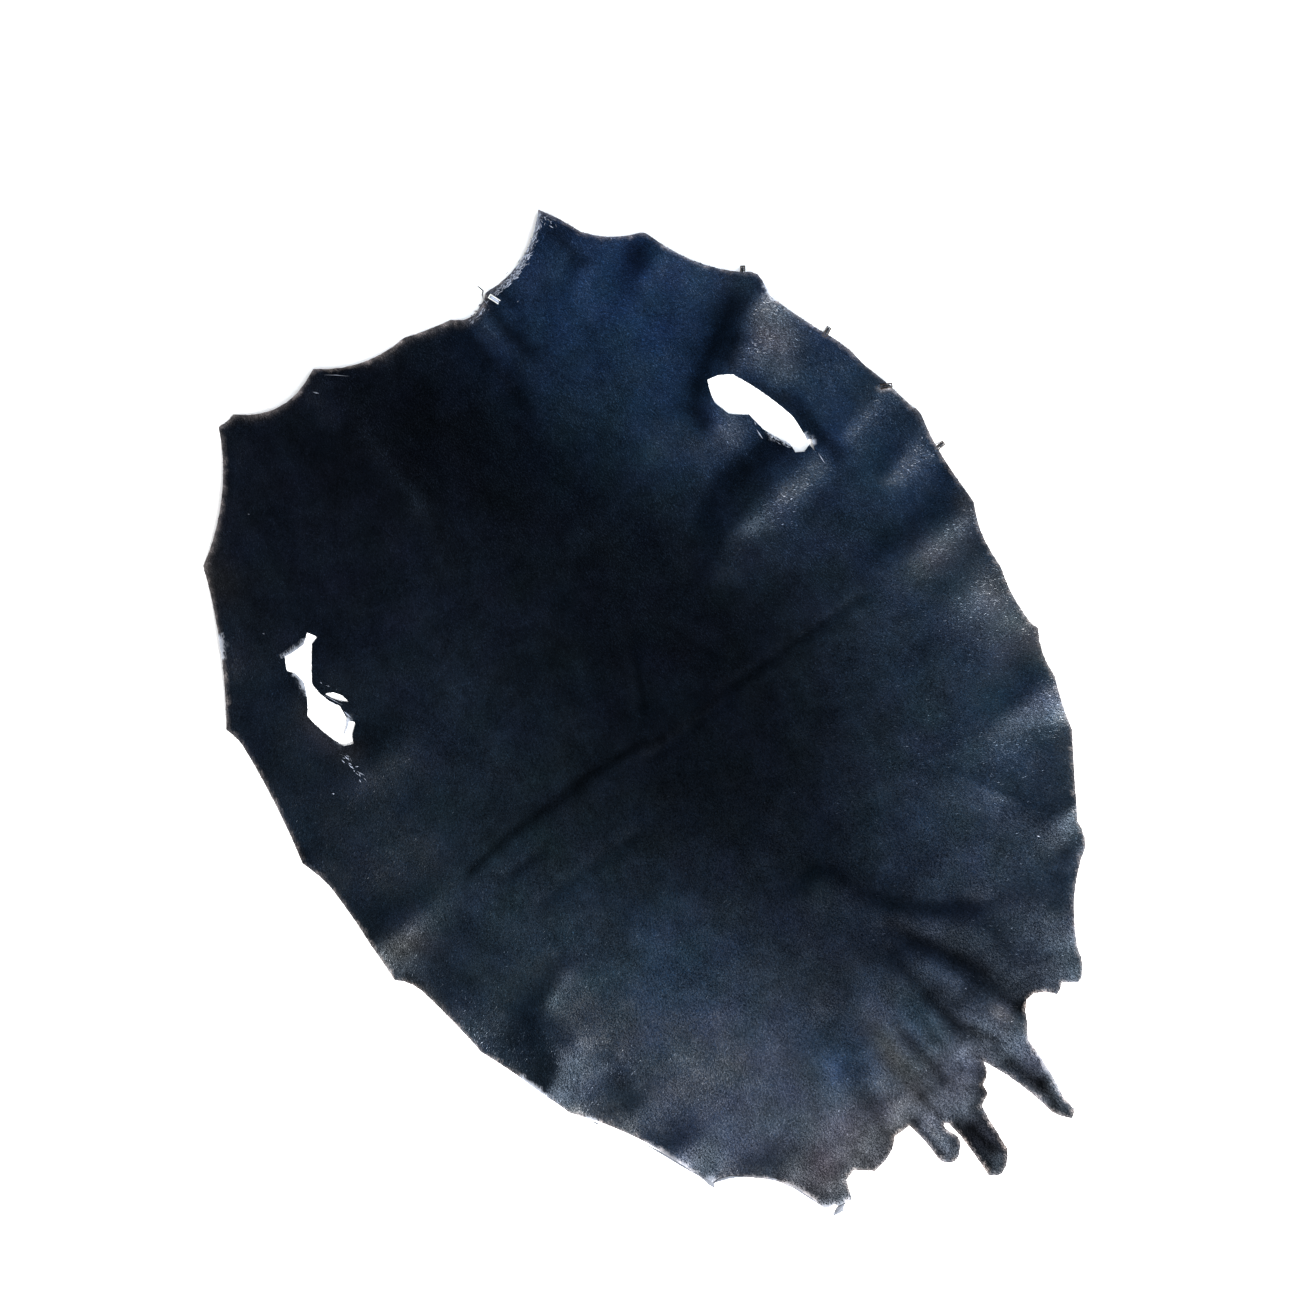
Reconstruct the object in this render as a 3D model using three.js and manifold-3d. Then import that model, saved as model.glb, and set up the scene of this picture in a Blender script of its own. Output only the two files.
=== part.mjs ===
// Dressed sealskin, lying open on a flat surface with its hair side up.
// Millimetres, +Z up. The spine runs along Y with the head end at +Y, and the right flank is at +X.
// The origin lies on the surface, under the middle of the skin's box.

import * as THREE from "three";
import { mergeVertices } from "three/addons/utils/BufferGeometryUtils.js";
import Module from "manifold-3d";

// Driving dimensions
const SKIN_THICKNESS = 3; // leather and the hair that lies on it
const EDGE_STEP = 15; // longest straight run on a bowed edge
const CURL_WIDTH = 34; // how far in from an edge the skin starts to curl up
const FLAT_LEVEL = 0.5; // relief lower than this lies flat on the surface
const STAPLE_CROWN = 5.2;
const STAPLE_LEG = 13;
const STAPLE_WIRE = 1.2;
const CLEARANCE = 0.3; // free space around a staple

const HAIR_BLACK = 0x1b222d;
const ZINC_GREY = 0xb9bcbc;

// A table of rows, each with its columns by name
function table(columns, rows) {
  return rows.map((row) => Object.fromEntries(columns.map((name, i) => [name, row[i]])));
}

// The edges are measured on the skin: across from the spine, with the right flank positive, and along it
// from the head end. Bow is how far an edge bends to the right of its way to the next row, and lift is how
// high it stands off the surface half way there. The rim runs clockwise, seen from above.
const EDGE_COLUMNS = ["across", "along", "bow", "lift"];

const HEAD_EDGE = table(EDGE_COLUMNS, [
  [-198, 0, 1.5, 1],
  [-178, -1, 17.5, 7],
  [-82, 11, 10.5, 5],
  [14, 41, 1, 3],
  [64, 55, 12.5, 8],
  [111, 54, 13.5, 4],
]);

const RIGHT_FLANK = table(EDGE_COLUMNS, [
  [207, 17, -1.5, 1],
  [229, 62, 5, 6],
  [279, 100, -1, 0],
  [284, 107, 8, 8],
  [341, 198, -4, 2],
  [351, 217, 2.5, 5],
  [352, 246, 0.6, 4],
  [372, 300, -2.5, 3],
  [385, 350, -0.8, 2],
  [399, 415, -1, 1],
  [402, 428, 1, 4],
  [395, 466, 0.7, 3],
  [391, 535, 5, 6],
  [374, 606, 3.5, 5],
  [365, 676, 0, 0],
  [368, 682, 4.5, 4],
  [351, 732, 1.5, 5],
  [333, 789, 1, 8],
  [280, 869, -2.5, 1],
  [271, 896, 9, 8],
  [200, 980, -2, 2],
]);

const RIGHT_HEM = table(EDGE_COLUMNS, [
  [190, 1000, -1, 0],
  [181, 1006, 0, 0],
  [166, 996, 0, 0],
  [162, 1000, 0, 0],
  [155, 1003, 0, 0],
  [146, 993, 8.5, 4],
  [118, 997, -0.8, 2],
]);

const HIND_FLIPPERS = table(EDGE_COLUMNS, [
  [102, 1022, -2, 3],
  [96, 1095, 0, 0],
  [98, 1110, -1, 0],
  [90, 1117, -1, 0],
  [77, 1099, 3.5, 2],
  [51, 1014, -4, 1],
  [36, 1033, 0, 0],
  [35, 1043, 0, 0],
  [22, 1050, 0.7, 2],
  [17, 1102, -3, 0],
  [-4, 1120, -1, 0],
  [-16, 1113, 0.6, 2],
  [-15, 1062, 0, 0],
  [-17, 1044, 4, 0],
  [-23, 1046, 0, 0],
  [-17.5, 1061, 0, 0],
  [-19, 1068, 0, 0],
  [-24, 1073, -1.5, 0],
  [-36, 1080, -2, 0],
  [-48, 1069, 0.7, 2],
  [-49, 1036, 0, 0],
]);

const LEFT_HEM = table(EDGE_COLUMNS, [
  [-52, 1021, 0, 0],
  [-60, 1022, 0, 0],
  [-70, 1021, -4.5, 2],
  [-109, 1038, 20, 5],
  [-146, 1048, 0, 0],
  [-155, 1047, 0, 0],
  [-161, 1052, -1, 0],
  [-173, 1049, 0, 0],
  [-162, 1045, 0, 0],
  [-164, 1041, 0, 0],
]);

const LEFT_FLANK = table(EDGE_COLUMNS, [
  [-175, 1040, 17, 3],
  [-250, 947, 0, 0],
  [-256, 952, 0, 0],
  [-258, 943, 9, 3],
  [-330, 799, 1.5, 3],
  [-367, 692, 1.6, 2],
  [-379, 603, 2.5, 1],
  [-395, 577, 2.2, 5],
  [-391.5, 455, 0.5, 0],
  [-400, 421, 3.2, 4],
  [-377, 285, 1, 0],
  [-381, 261, 6.5, 7],
  [-298, 108, 12, 6],
]);

const RIGHT_FLIPPER_HOLE = table(EDGE_COLUMNS, [
  [243, 266, 0, 0],
  [255, 269, 0, 0],
  [268, 277, -2.5, 4],
  [293, 350, -0.6, 3],
  [290, 379, 0, 0],
  [295, 380, 0, 0],
  [289, 394, 0, 0],
  [289, 384, 0, 0],
  [280, 387, 0, 0],
  [272, 382, 0, 0],
  [273, 371, -0.8, 3],
  [260, 342, 0, 0],
  [257, 321, -0.6, 3],
  [240, 307, 0, 0],
  [235, 290, -1, 2],
]);

const LEFT_FLIPPER_HOLE = table(EDGE_COLUMNS, [
  [-286, 236, 0.6, 2],
  [-262, 237, 0, 0],
  [-252, 229, 0, 0],
  [-246, 239, 0, 0],
  [-255, 242, 0.6, 4],
  [-280, 276, 3, 3],
  [-270, 312, 0, 0],
  [-272, 326, -1.5, 0],
  [-289, 340, 1.5, 0],
  [-272, 330, 0, 0],
  [-267, 335, 0, 0],
  [-277, 343, 0, 0],
  [-282, 352, 0, 0],
  [-292, 348, -2, 3],
  [-304, 300, 0.7, 2],
  [-290, 279, 0, 0],
  [-286, 270, 0, 0],
  [-287, 258, 0, 0],
  [-293, 249, -0.5, 2],
]);

const LEFT_SLIT = table(EDGE_COLUMNS, [
  [-276, 291, -5, 1],
  [-260, 314, -2, 1],
]);

// Soft folds: each runs from one place to another, with its height at both ends and its half width
const FOLD_COLUMNS = ["across", "along", "toAcross", "toAlong", "halfWidth", "height", "toHeight"];

const HEAD_FOLDS = table(FOLD_COLUMNS, [
  [-90, 20, -74, 190, 24, 5, 2],
  [93, 66, 76, 170, 22, 6, 2],
  [196, 35, 172, 110, 22, 6, 2],
  [280, 126, 240, 146, 20, 6, 2],
]);

const SHOULDER_FOLDS = table(FOLD_COLUMNS, [
  [352, 219, 300, 244, 21, 12, 11],
  [300, 244, 240, 276, 21, 11, 8],
  [240, 276, 220, 304, 21, 8, 4],
  [205, 285, 125, 262, 32, 5, 2],
  [282, 390, 200, 396, 23, 8, 9],
  [200, 396, 130, 428, 24, 9, 2],
  [-305, 372, -240, 378, 26, 4, 2],
]);

// One fold runs right across the skin, and the flanks wave to each side of it
const FLANK_FOLDS = table(FOLD_COLUMNS, [
  [400, 386, 322, 394, 19, 7, 2],
  [398, 438, 330, 456, 19, 7, 2],
  [394, 529, 310, 538, 24, 10, 6],
  [310, 538, 205, 546, 20, 6, 1.5],
  [205, 546, -305, 527, 18, 1.5, 1.3],
  [-305, 527, -395, 536, 24, 2, 9],
  [376, 594, 306, 598, 24, 8, 3],
  [354, 727, 300, 729, 26, 9, 6],
  [300, 729, 235, 742, 24, 6, 1.5],
  [290, 853, 245, 858, 20, 7, 2],
  [-372, 642, -330, 644, 18, 4, 2],
  [-250, 674, -288, 690, 20, 2, 7],
  [-288, 690, -298, 706, 20, 7, 8],
  [-298, 706, -298, 736, 20, 8, 9],
  [-298, 736, -340, 768, 20, 9, 6],
  [-286, 838, -262, 836, 18, 4, 3],
  [-272, 896, -244, 900, 18, 6, 2],
  [-212, 972, -182, 976, 18, 5, 2],
]);

// Pleats fan out from the root of the tail to the hind flippers
const TAIL_PLEATS = table(FOLD_COLUMNS, [
  [4, 756, 40, 762, 12, 2, 2],
  [202, 750, 248, 838, 13, 3, 4],
  [40, 766, 66, 832, 13, 3, 4],
  [66, 832, 128, 893, 14, 4, 4],
  [58, 868, 96, 1020, 13, 4, 7],
  [36, 880, 47, 985, 13, 4, 5],
  [134, 886, 143, 972, 13, 4, 6],
  [190, 896, 200, 945, 15, 4, 5],
  [16, 870, 22, 1020, 14, 3, 5],
  [-28, 930, -34, 1060, 15, 3, 5],
  [-85, 905, -88, 1022, 20, 3, 6],
]);

const FOLDS = [...HEAD_FOLDS, ...SHOULDER_FOLDS, ...FLANK_FOLDS, ...TAIL_PLEATS];

// The relief is worked out at the crossings of two sets of lines, closer together over the tail's pleats
const GRID_COLUMNS = ["from", "step"];

const ACROSS_BANDS = table(GRID_COLUMNS, [
  [-424.6, 24.4],
  [-58.6, 14.1],
  [195.2, 24.4],
]);

const ALONG_BANDS = table(GRID_COLUMNS, [
  [-24.7, 25.3],
  [835.5, 21.6],
]);

const GRID_END_ACROSS = 430;
const GRID_END_ALONG = 1140;

// Wire staples left in the rim: heading is the way their outer end points, in degrees from +X, reach is
// how far they stand out past the place given, and level is how high they sit in the skin.
// The last one lies on the hair.
const IN_LEATHER = SKIN_THICKNESS / 2;
const ON_HAIR = SKIN_THICKNESS + CLEARANCE + STAPLE_WIRE / 2;
const STAPLES = table(["across", "along", "heading", "reach", "level", "legsOut"], [
  [340, 198, 56, 8, IN_LEATHER, false],
  [372, 301, 25, 9, IN_LEATHER, true],
  [392, 384, -28, 4, IN_LEATHER, false],
  [395, 467, 5, 9, IN_LEATHER, false],
  [112, 60, 111, 1, ON_HAIR, false],
]);

const wasm = await Module();
wasm.setup();

// Points along a closed edge, with bowed stretches as curves, each point with its lift
function edgePoints(rows) {
  return rows.flatMap((row, i) => {
    const next = rows[(i + 1) % rows.length];
    const start = new THREE.Vector2(row.across, row.along);
    const end = new THREE.Vector2(next.across, next.along);
    const way = end.clone().sub(start);
    const length = way.length();
    const toRight = new THREE.Vector2(-way.y, way.x).divideScalar(length);
    const middle = start.clone().add(end).multiplyScalar(0.5).addScaledVector(toRight, 2 * row.bow);
    const curve = new THREE.QuadraticBezierCurve(start, middle, end);
    const steps = row.bow === 0 ? 1 : Math.max(3, Math.ceil(length / EDGE_STEP));
    const points = curve.getPoints(steps).slice(0, -1);
    return points.map((point, k) => {
      const share = k / steps;
      return { x: point.x, y: point.y, lift: 4 * share * (1 - share) * row.lift };
    });
  });
}

const rim = edgePoints([
  ...HEAD_EDGE,
  ...RIGHT_FLANK,
  ...RIGHT_HEM,
  ...HIND_FLIPPERS,
  ...LEFT_HEM,
  ...LEFT_FLANK,
]);
const holes = [RIGHT_FLIPPER_HOLE, LEFT_FLIPPER_HOLE, LEFT_SLIT].map(edgePoints);

function isWithin(edge, across, along) {
  let within = false;
  edge.forEach((a, i) => {
    const b = edge[(i + 1) % edge.length];
    const crosses = a.y > along !== b.y > along;
    if (crosses && across < a.x + ((along - a.y) / (b.y - a.y)) * (b.x - a.x)) {
      within = !within;
    }
  });
  return within;
}

// Share of the way from a to b, and the distance, of the nearest place to a point
function nearestOn(a, b, across, along) {
  const wayX = b.x - a.x;
  const wayY = b.y - a.y;
  const reach = ((across - a.x) * wayX + (along - a.y) * wayY) / (wayX * wayX + wayY * wayY);
  const share = THREE.MathUtils.clamp(reach, 0, 1);
  const distance = Math.hypot(a.x + share * wayX - across, a.y + share * wayY - along);
  return { share, distance };
}

function curlHeight(across, along) {
  let nearest = { distance: Infinity, lift: 0 };
  for (const edge of [rim, ...holes]) {
    edge.forEach((a, i) => {
      const b = edge[(i + 1) % edge.length];
      const { share, distance } = nearestOn(a, b, across, along);
      if (distance < nearest.distance) {
        nearest = { distance, lift: THREE.MathUtils.lerp(a.lift, b.lift, share) };
      }
    });
  }
  const onSkin = isWithin(rim, across, along) && !holes.some((hole) => isWithin(hole, across, along));
  const inward = onSkin ? nearest.distance : -nearest.distance;
  return nearest.lift * Math.max(0, 1 - inward / CURL_WIDTH) ** 2;
}

function foldHeight(fold, across, along) {
  const start = { x: fold.across, y: fold.along };
  const end = { x: fold.toAcross, y: fold.toAlong };
  const { share, distance } = nearestOn(start, end, across, along);
  const height = THREE.MathUtils.lerp(fold.height, fold.toHeight, share);
  return height * Math.exp(-((distance / fold.halfWidth) ** 2));
}

// Height of the skin's underside off the surface; folds that meet run into each other
function undersideHeight(across, along) {
  const cubes = FOLDS.map((fold) => foldHeight(fold, across, along) ** 3);
  const folds = Math.cbrt(cubes.reduce((sum, cube) => sum + cube, 0));
  return Math.max(0, folds + curlHeight(across, along) - FLAT_LEVEL);
}

function gridLines(bands, end) {
  return bands.flatMap((band, i) => {
    const stop = i + 1 < bands.length ? bands[i + 1].from : end;
    const count = Math.ceil((stop - band.from) / band.step);
    return Array.from({ length: count }, (_, k) => band.from + k * band.step);
  });
}

function solidOf(positions, indices) {
  const mesh = new wasm.Mesh({
    numProp: 3,
    vertProperties: Float32Array.from(positions),
    triVerts: Uint32Array.from(indices),
  });
  return new wasm.Manifold(mesh);
}

function solidOfGeometry(geometry) {
  const bare = geometry.clone();
  bare.deleteAttribute("normal");
  bare.deleteAttribute("uv");
  const merged = mergeVertices(bare, 1e-4);
  return solidOf(merged.attributes.position.array, merged.index.array);
}

function geometryOf(solid) {
  const mesh = solid.getMesh();
  const geometry = new THREE.BufferGeometry();
  geometry.setAttribute("position", new THREE.BufferAttribute(mesh.vertProperties, 3));
  geometry.setIndex(new THREE.BufferAttribute(mesh.triVerts, 1));
  geometry.computeVertexNormals();
  return geometry;
}

// A wavy slab, wider than the skin all round, with the skin's relief on both faces
function reliefSlab() {
  const acrosses = gridLines(ACROSS_BANDS, GRID_END_ACROSS);
  const alongs = gridLines(ALONG_BANDS, GRID_END_ALONG);
  const columns = acrosses.length;
  const layer = columns * alongs.length;
  const under = alongs.map((along) => acrosses.map((across) => undersideHeight(across, along)));
  const positions = [0, SKIN_THICKNESS].flatMap((raise) =>
    alongs.flatMap((along, j) => acrosses.flatMap((across, i) => [across, -along, under[j][i] + raise])),
  );
  const indices = [];
  const addQuad = (a, b, c, d) => indices.push(a, b, c, a, c, d);
  for (let j = 0; j + 1 < alongs.length; j += 1) {
    for (let i = 0; i + 1 < columns; i += 1) {
      const corner = j * columns + i;
      const below = corner + columns;
      addQuad(corner, corner + 1, below + 1, below);
      addQuad(layer + below, layer + below + 1, layer + corner + 1, layer + corner);
    }
  }
  const addWall = (a, b) => addQuad(a, b, layer + b, layer + a);
  const lastRow = layer - columns;
  for (let i = 0; i + 1 < columns; i += 1) {
    addWall(i + 1, i);
    addWall(lastRow + i, lastRow + i + 1);
  }
  for (let j = 0; j + 1 < alongs.length; j += 1) {
    addWall(j * columns, (j + 1) * columns);
    addWall((j + 2) * columns - 1, (j + 1) * columns - 1);
  }
  return solidOf(positions, indices);
}

// An upright block with the skin's outline and its holes
function outlineBlock() {
  const place = (point) => new THREE.Vector2(point.x, -point.y);
  const shape = new THREE.Shape(rim.map(place).reverse());
  shape.holes = holes.map((hole) => new THREE.Path(hole.map(place)));
  const margin = 100;
  const block = new THREE.ExtrudeGeometry(shape, { depth: 2 * margin, bevelEnabled: false });
  return solidOfGeometry(block.translate(0, 0, -margin));
}

// A staple lying along X, its outer end at the origin; grow widens it on every side
function stapleGeometry(grow, legsOut) {
  const half = STAPLE_CROWN / 2 + grow;
  const inner = STAPLE_CROWN / 2 - STAPLE_WIRE - grow;
  const crown = STAPLE_WIRE + 2 * grow;
  const open = STAPLE_LEG + 2 * grow;
  const shape = new THREE.Shape();
  shape.moveTo(0, -half);
  shape.lineTo(open, -half);
  shape.lineTo(open, -inner);
  shape.lineTo(crown, -inner);
  shape.lineTo(crown, inner);
  shape.lineTo(open, inner);
  shape.lineTo(open, half);
  shape.lineTo(0, half);
  const depth = STAPLE_WIRE + 2 * grow;
  const staple = new THREE.ExtrudeGeometry(shape, { depth, bevelEnabled: false });
  staple.translate(-grow, 0, -depth / 2);
  return legsOut ? staple.translate(-STAPLE_LEG, 0, 0) : staple.rotateZ(Math.PI);
}

// Turns a staple to its heading and tilts it with the skin under it
function staplePlace(row) {
  const heading = THREE.MathUtils.degToRad(row.heading);
  const inward = STAPLE_LEG / 2;
  const inAcross = row.across - inward * Math.cos(heading);
  const inAlong = row.along + inward * Math.sin(heading);
  const height = undersideHeight(row.across, row.along);
  const rise = height - undersideHeight(inAcross, inAlong);
  const place = new THREE.Object3D();
  place.position.set(row.across, -row.along, height + row.level);
  place.rotation.set(0, -Math.atan2(rise, inward), heading, "ZYX");
  place.translateX(row.reach);
  place.updateMatrix();
  return place.matrix;
}

const hairMaterial = new THREE.MeshStandardMaterial({ color: HAIR_BLACK, roughness: 0.7, metalness: 0 });
const group = new THREE.Group();

let skin = reliefSlab().intersect(outlineBlock());
STAPLES.forEach((row, i) => {
  const place = staplePlace(row);
  const pocket = stapleGeometry(CLEARANCE, row.legsOut).applyMatrix4(place);
  skin = skin.subtract(solidOfGeometry(pocket));
  const material = new THREE.MeshStandardMaterial({ color: ZINC_GREY, roughness: 0.35, metalness: 1 });
  const staple = new THREE.Mesh(stapleGeometry(0, row.legsOut), material);
  staple.name = `staple_${i + 1}`;
  staple.applyMatrix4(place);
  group.add(staple);
});

const pelt = new THREE.Mesh(geometryOf(skin), hairMaterial);
pelt.name = "pelt";
group.add(pelt);

// The origin goes under the middle of the whole box
const box = new THREE.Box3().setFromObject(group, true);
const boxMiddle = box.getCenter(new THREE.Vector3());
group.position.set(-boxMiddle.x, -boxMiddle.y, -box.min.z);

export default group;
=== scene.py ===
# %% [markdown]
# # A dressed sealskin, hair side up
# A dressed sealskin is one piece of leather with its short, stiff hair still on it. It was cut open along
# the belly and stapled to a board to dry, so its rim is a row of hollow scallops between the old staple
# places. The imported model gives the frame: one solid for the skin, in the folds in which it lies, and the
# wire staples that were left in its rim. Everything below is measured from that frame, in metres.

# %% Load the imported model
import math

import bmesh
import bpy
import numpy as np
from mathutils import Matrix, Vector, geometry, kdtree, noise
from mathutils.bvhtree import BVHTree


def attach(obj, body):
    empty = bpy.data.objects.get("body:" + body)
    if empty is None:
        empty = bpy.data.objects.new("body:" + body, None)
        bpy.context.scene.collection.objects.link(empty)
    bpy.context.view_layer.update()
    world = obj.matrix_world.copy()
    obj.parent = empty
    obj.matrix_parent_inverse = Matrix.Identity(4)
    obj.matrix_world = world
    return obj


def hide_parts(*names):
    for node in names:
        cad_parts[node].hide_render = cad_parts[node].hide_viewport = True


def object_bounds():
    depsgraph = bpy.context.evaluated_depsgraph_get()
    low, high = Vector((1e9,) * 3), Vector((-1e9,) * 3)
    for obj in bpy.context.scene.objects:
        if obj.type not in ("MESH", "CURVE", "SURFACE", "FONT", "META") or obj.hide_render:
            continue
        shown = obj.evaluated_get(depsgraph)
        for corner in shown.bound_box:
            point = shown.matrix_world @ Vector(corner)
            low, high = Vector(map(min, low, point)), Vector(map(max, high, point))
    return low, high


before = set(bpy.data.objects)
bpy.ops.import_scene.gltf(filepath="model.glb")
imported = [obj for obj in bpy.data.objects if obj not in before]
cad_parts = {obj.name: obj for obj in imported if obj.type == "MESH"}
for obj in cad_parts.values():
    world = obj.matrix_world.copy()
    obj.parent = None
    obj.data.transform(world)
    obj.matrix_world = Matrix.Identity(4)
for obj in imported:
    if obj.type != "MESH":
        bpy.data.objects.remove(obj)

MM = 0.001
scene = bpy.context.scene
cad_low, cad_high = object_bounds()
rng = np.random.default_rng(20)
print("CAD box", [round(v, 4) for v in (*cad_low, *cad_high)])

# %% [markdown]
# ## Measuring on the skin
# A furrier measures a skin across from the spine and along it from the head, so the tables below do the
# same, in millimetres. The rim's left and head ends tie those measures to the frame. A table is a list of
# rows with named columns, which reads better than bare tuples.

# %% Measures and tables
LEFT_END_ACROSS = -400.0
HEAD_END_ALONG = -1.0


def table(columns, *rows):
    names = columns.split()
    return [dict(zip(names, row)) for row in rows]


def on_skin(across, along):
    x = cad_low.x + (across - LEFT_END_ACROSS) * MM
    y = cad_high.y - (along - HEAD_END_ALONG) * MM
    return np.array([x, y])


print("spine at x =", round(on_skin(0, 0)[0], 4), "head end at y =", round(on_skin(0, 0)[1], 4))

# %% [markdown]
# ## The rim and the folds of the solid
# The solid's hair side is the set of faces that look up. Where one of them meets a face that doesn't, there
# is an edge of the skin, and these edges chain into closed loops: the rim, the two fore-flipper holes and a
# slit. The tiny loops are the places of the staples, and are left out. The solid's underside gives the
# height of the folds, found by a ray from below.

# %% Read loops and heights
UP_FACING = 0.2
JOIN_DISTANCE = 1e-6
SHORTEST_LOOP = 40 * MM


def chain_loops(edges):
    links = {}
    for a, b in edges:
        links.setdefault(a, []).append(b)
        links.setdefault(b, []).append(a)
    loops = []
    while links:
        start, before = next(iter(links)), None
        loop, here = [start], start
        while True:
            onward = [v for v in links[here] if v != before]
            before, here = here, onward[0]
            if here == start:
                break
            loop.append(here)
        for v in loop:
            del links[v]
        loops.append(loop)
    return loops


def loop_length(points):
    return np.linalg.norm(points - np.roll(points, -1, axis=0), axis=1).sum()


solid = bmesh.new()
solid.from_mesh(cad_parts["pelt"].data)
bmesh.ops.remove_doubles(solid, verts=solid.verts, dist=JOIN_DISTANCE)
solid.normal_update()
border = [
    tuple(v.index for v in e.verts)
    for e in solid.edges
    if len(e.link_faces) == 2 and sum(f.normal.z > UP_FACING for f in e.link_faces) == 1
]
solid.verts.ensure_lookup_table()
all_loops = [np.array([solid.verts[i].co.xy for i in loop]) for loop in chain_loops(border)]
long_loops = [loop for loop in all_loops if loop_length(loop) > SHORTEST_LOOP]
edge_loops = sorted(long_loops, key=loop_length, reverse=True)

under_faces = [[v.index for v in f.verts] for f in solid.faces if f.normal.z < -UP_FACING]
underside = BVHTree.FromPolygons([v.co.copy() for v in solid.verts], under_faces)
solid.free()


def solid_height(x, y):
    hit = underside.ray_cast(Vector((x, y, -1.0)), Vector((0, 0, 1)))[0]
    if hit is None:
        hit = underside.find_nearest(Vector((x, y, 0.0)))[0]
    return max(0.0, hit.z)


print("edge loops", [(len(loop), round(loop_length(loop), 3)) for loop in edge_loops])

# %% [markdown]
# ## Camera, floor and light
# The skin is seen from straight above, turned so that its head end points to the picture's upper left. The
# floor is plain and pale. A large soft light stands beyond the tail, because slopes that face the tail are
# the light ones, and a bluish one stands off the right shoulder. A far and very wide light fills in, and is
# left out of reflections. The sky is pale low down and dark overhead, so that dark glossy hair stays dark
# when it is seen from above.

# %% Camera
VIEW_WIDTH = 1.358
CAMERA_HEIGHT = 3.0
CAMERA_TURN = math.radians(-36.5)
VIEW_MIDDLE = on_skin(25.7, 452.8)

camera_data = bpy.data.cameras.new("camera")
camera_data.sensor_width = 36.0
camera_data.lens = camera_data.sensor_width * CAMERA_HEIGHT / VIEW_WIDTH
camera = bpy.data.objects.new("camera", camera_data)
camera.location = (*VIEW_MIDDLE, CAMERA_HEIGHT)
camera.rotation_euler = (0, 0, CAMERA_TURN)
scene.collection.objects.link(camera)
scene.camera = camera
scene.view_settings.view_transform = "Standard"
scene.view_settings.gamma = 0.8
print("lens", round(camera_data.lens, 2), "mm")

# %% Floor
FLOOR_HALF = 30.0
FLOOR_DROP = 0.2 * MM

floor_mesh = bpy.data.meshes.new("floor")
square = [(-1, -1), (1, -1), (1, 1), (-1, 1)]
floor_corners = [(x * FLOOR_HALF, y * FLOOR_HALF, -FLOOR_DROP) for x, y in square]
floor_mesh.from_pydata(floor_corners, [], [(0, 1, 2, 3)])
floor = bpy.data.objects.new("floor", floor_mesh)
scene.collection.objects.link(floor)
print("floor", 2 * FLOOR_HALF, "metres a side")


# %% Lights
def softbox(name, place, aim, size, watts, spread, colour):
    data = bpy.data.lights.new(name, "AREA")
    data.shape = "RECTANGLE"
    data.size, data.size_y = size
    data.energy = watts
    data.spread = math.radians(spread)
    data.color = colour
    light = bpy.data.objects.new(name, data)
    light.location = place
    light.rotation_euler = (Vector(aim) - Vector(place)).to_track_quat("-Z", "Y").to_euler()
    scene.collection.objects.link(light)


def far_light(name, place, strength, spread, colour):
    data = bpy.data.lights.new(name, "SUN")
    data.energy = strength
    data.angle = math.radians(spread)
    data.color = colour
    light = bpy.data.objects.new(name, data)
    light.rotation_euler = (-Vector(place)).to_track_quat("-Z", "Y").to_euler()
    light.visible_glossy = False
    scene.collection.objects.link(light)


SOFTBOXES = table(
    "name place aim size watts spread colour",
    ("tail_light", (-0.1, -1.15, 1.1), (-0.05, -0.45, 0.0), (1.0, 0.5), 36, 110, (1.0, 0.99, 0.97)),
    ("shoulder_light", (1.0, 0.45, 0.75), (0.32, 0.4, 0.0), (0.6, 0.5), 0.7, 46, (0.7, 0.85, 1.0)),
)
for row in SOFTBOXES:
    softbox(**row)
far_light("room_light", place=(-0.1, -0.4, 0.9), strength=4.4, spread=130, colour=(1.0, 0.99, 0.98))

# %% Sky
SKY = table("height colour", (0.1, (0.16, 0.18, 0.22, 1)), (0.8, (0.012, 0.014, 0.020, 1)))


def build_sky():
    world = bpy.data.worlds.new("studio")
    world.use_nodes = True
    tree = world.node_tree
    background = tree.nodes["Background"]
    background.inputs["Strength"].default_value = 1.0
    place = tree.nodes.new("ShaderNodeTexCoord")
    split = tree.nodes.new("ShaderNodeSeparateXYZ")
    ramp = tree.nodes.new("ShaderNodeValToRGB")
    tree.links.new(place.outputs["Generated"], split.inputs["Vector"])
    tree.links.new(split.outputs["Z"], ramp.inputs["Fac"])
    tree.links.new(ramp.outputs["Color"], background.inputs["Color"])
    for stop, row in zip(ramp.color_ramp.elements, SKY):
        stop.position, stop.color = row["height"], row["colour"]
    scene.world = world


build_sky()
print("sky", scene.world.name)

# %% [markdown]
# ## The hide
# The leather is a sheet of a little over a millimetre. Its outline is the solid's own, cut a little
# unevenly by hand. A fine triangle mesh inside that outline takes the solid's folds, smoothed, and then the
# finer creases and ripples. Modelling it as one closed sheet, with a hair side, a flesh side and a cut
# edge, keeps the rim true from every side.

# %% Outline of the hide
EDGE_SPACING = 3.2 * MM
CLOSEST_EDGE_POINTS = 1.0 * MM
CUT_UNEVENNESS = 0.35 * MM
CUT_WAVES = 360


def noise_field(points, waves, layer):
    return np.array([noise.noise(Vector((x * waves, y * waves, layer))) for x, y in points])


def dense_loop(points):
    dense = []
    for a, b in zip(points, np.roll(points, -1, axis=0)):
        count = max(1, math.ceil(np.linalg.norm(b - a) / EDGE_SPACING))
        dense += [a + (b - a) * k / count for k in range(count)]
    kept = [dense[0]]
    for point in dense[1:]:
        far_from_last = np.linalg.norm(point - kept[-1]) > CLOSEST_EDGE_POINTS
        if far_from_last and np.linalg.norm(point - kept[0]) > CLOSEST_EDGE_POINTS:
            kept.append(point)
    return np.array(kept)


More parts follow.
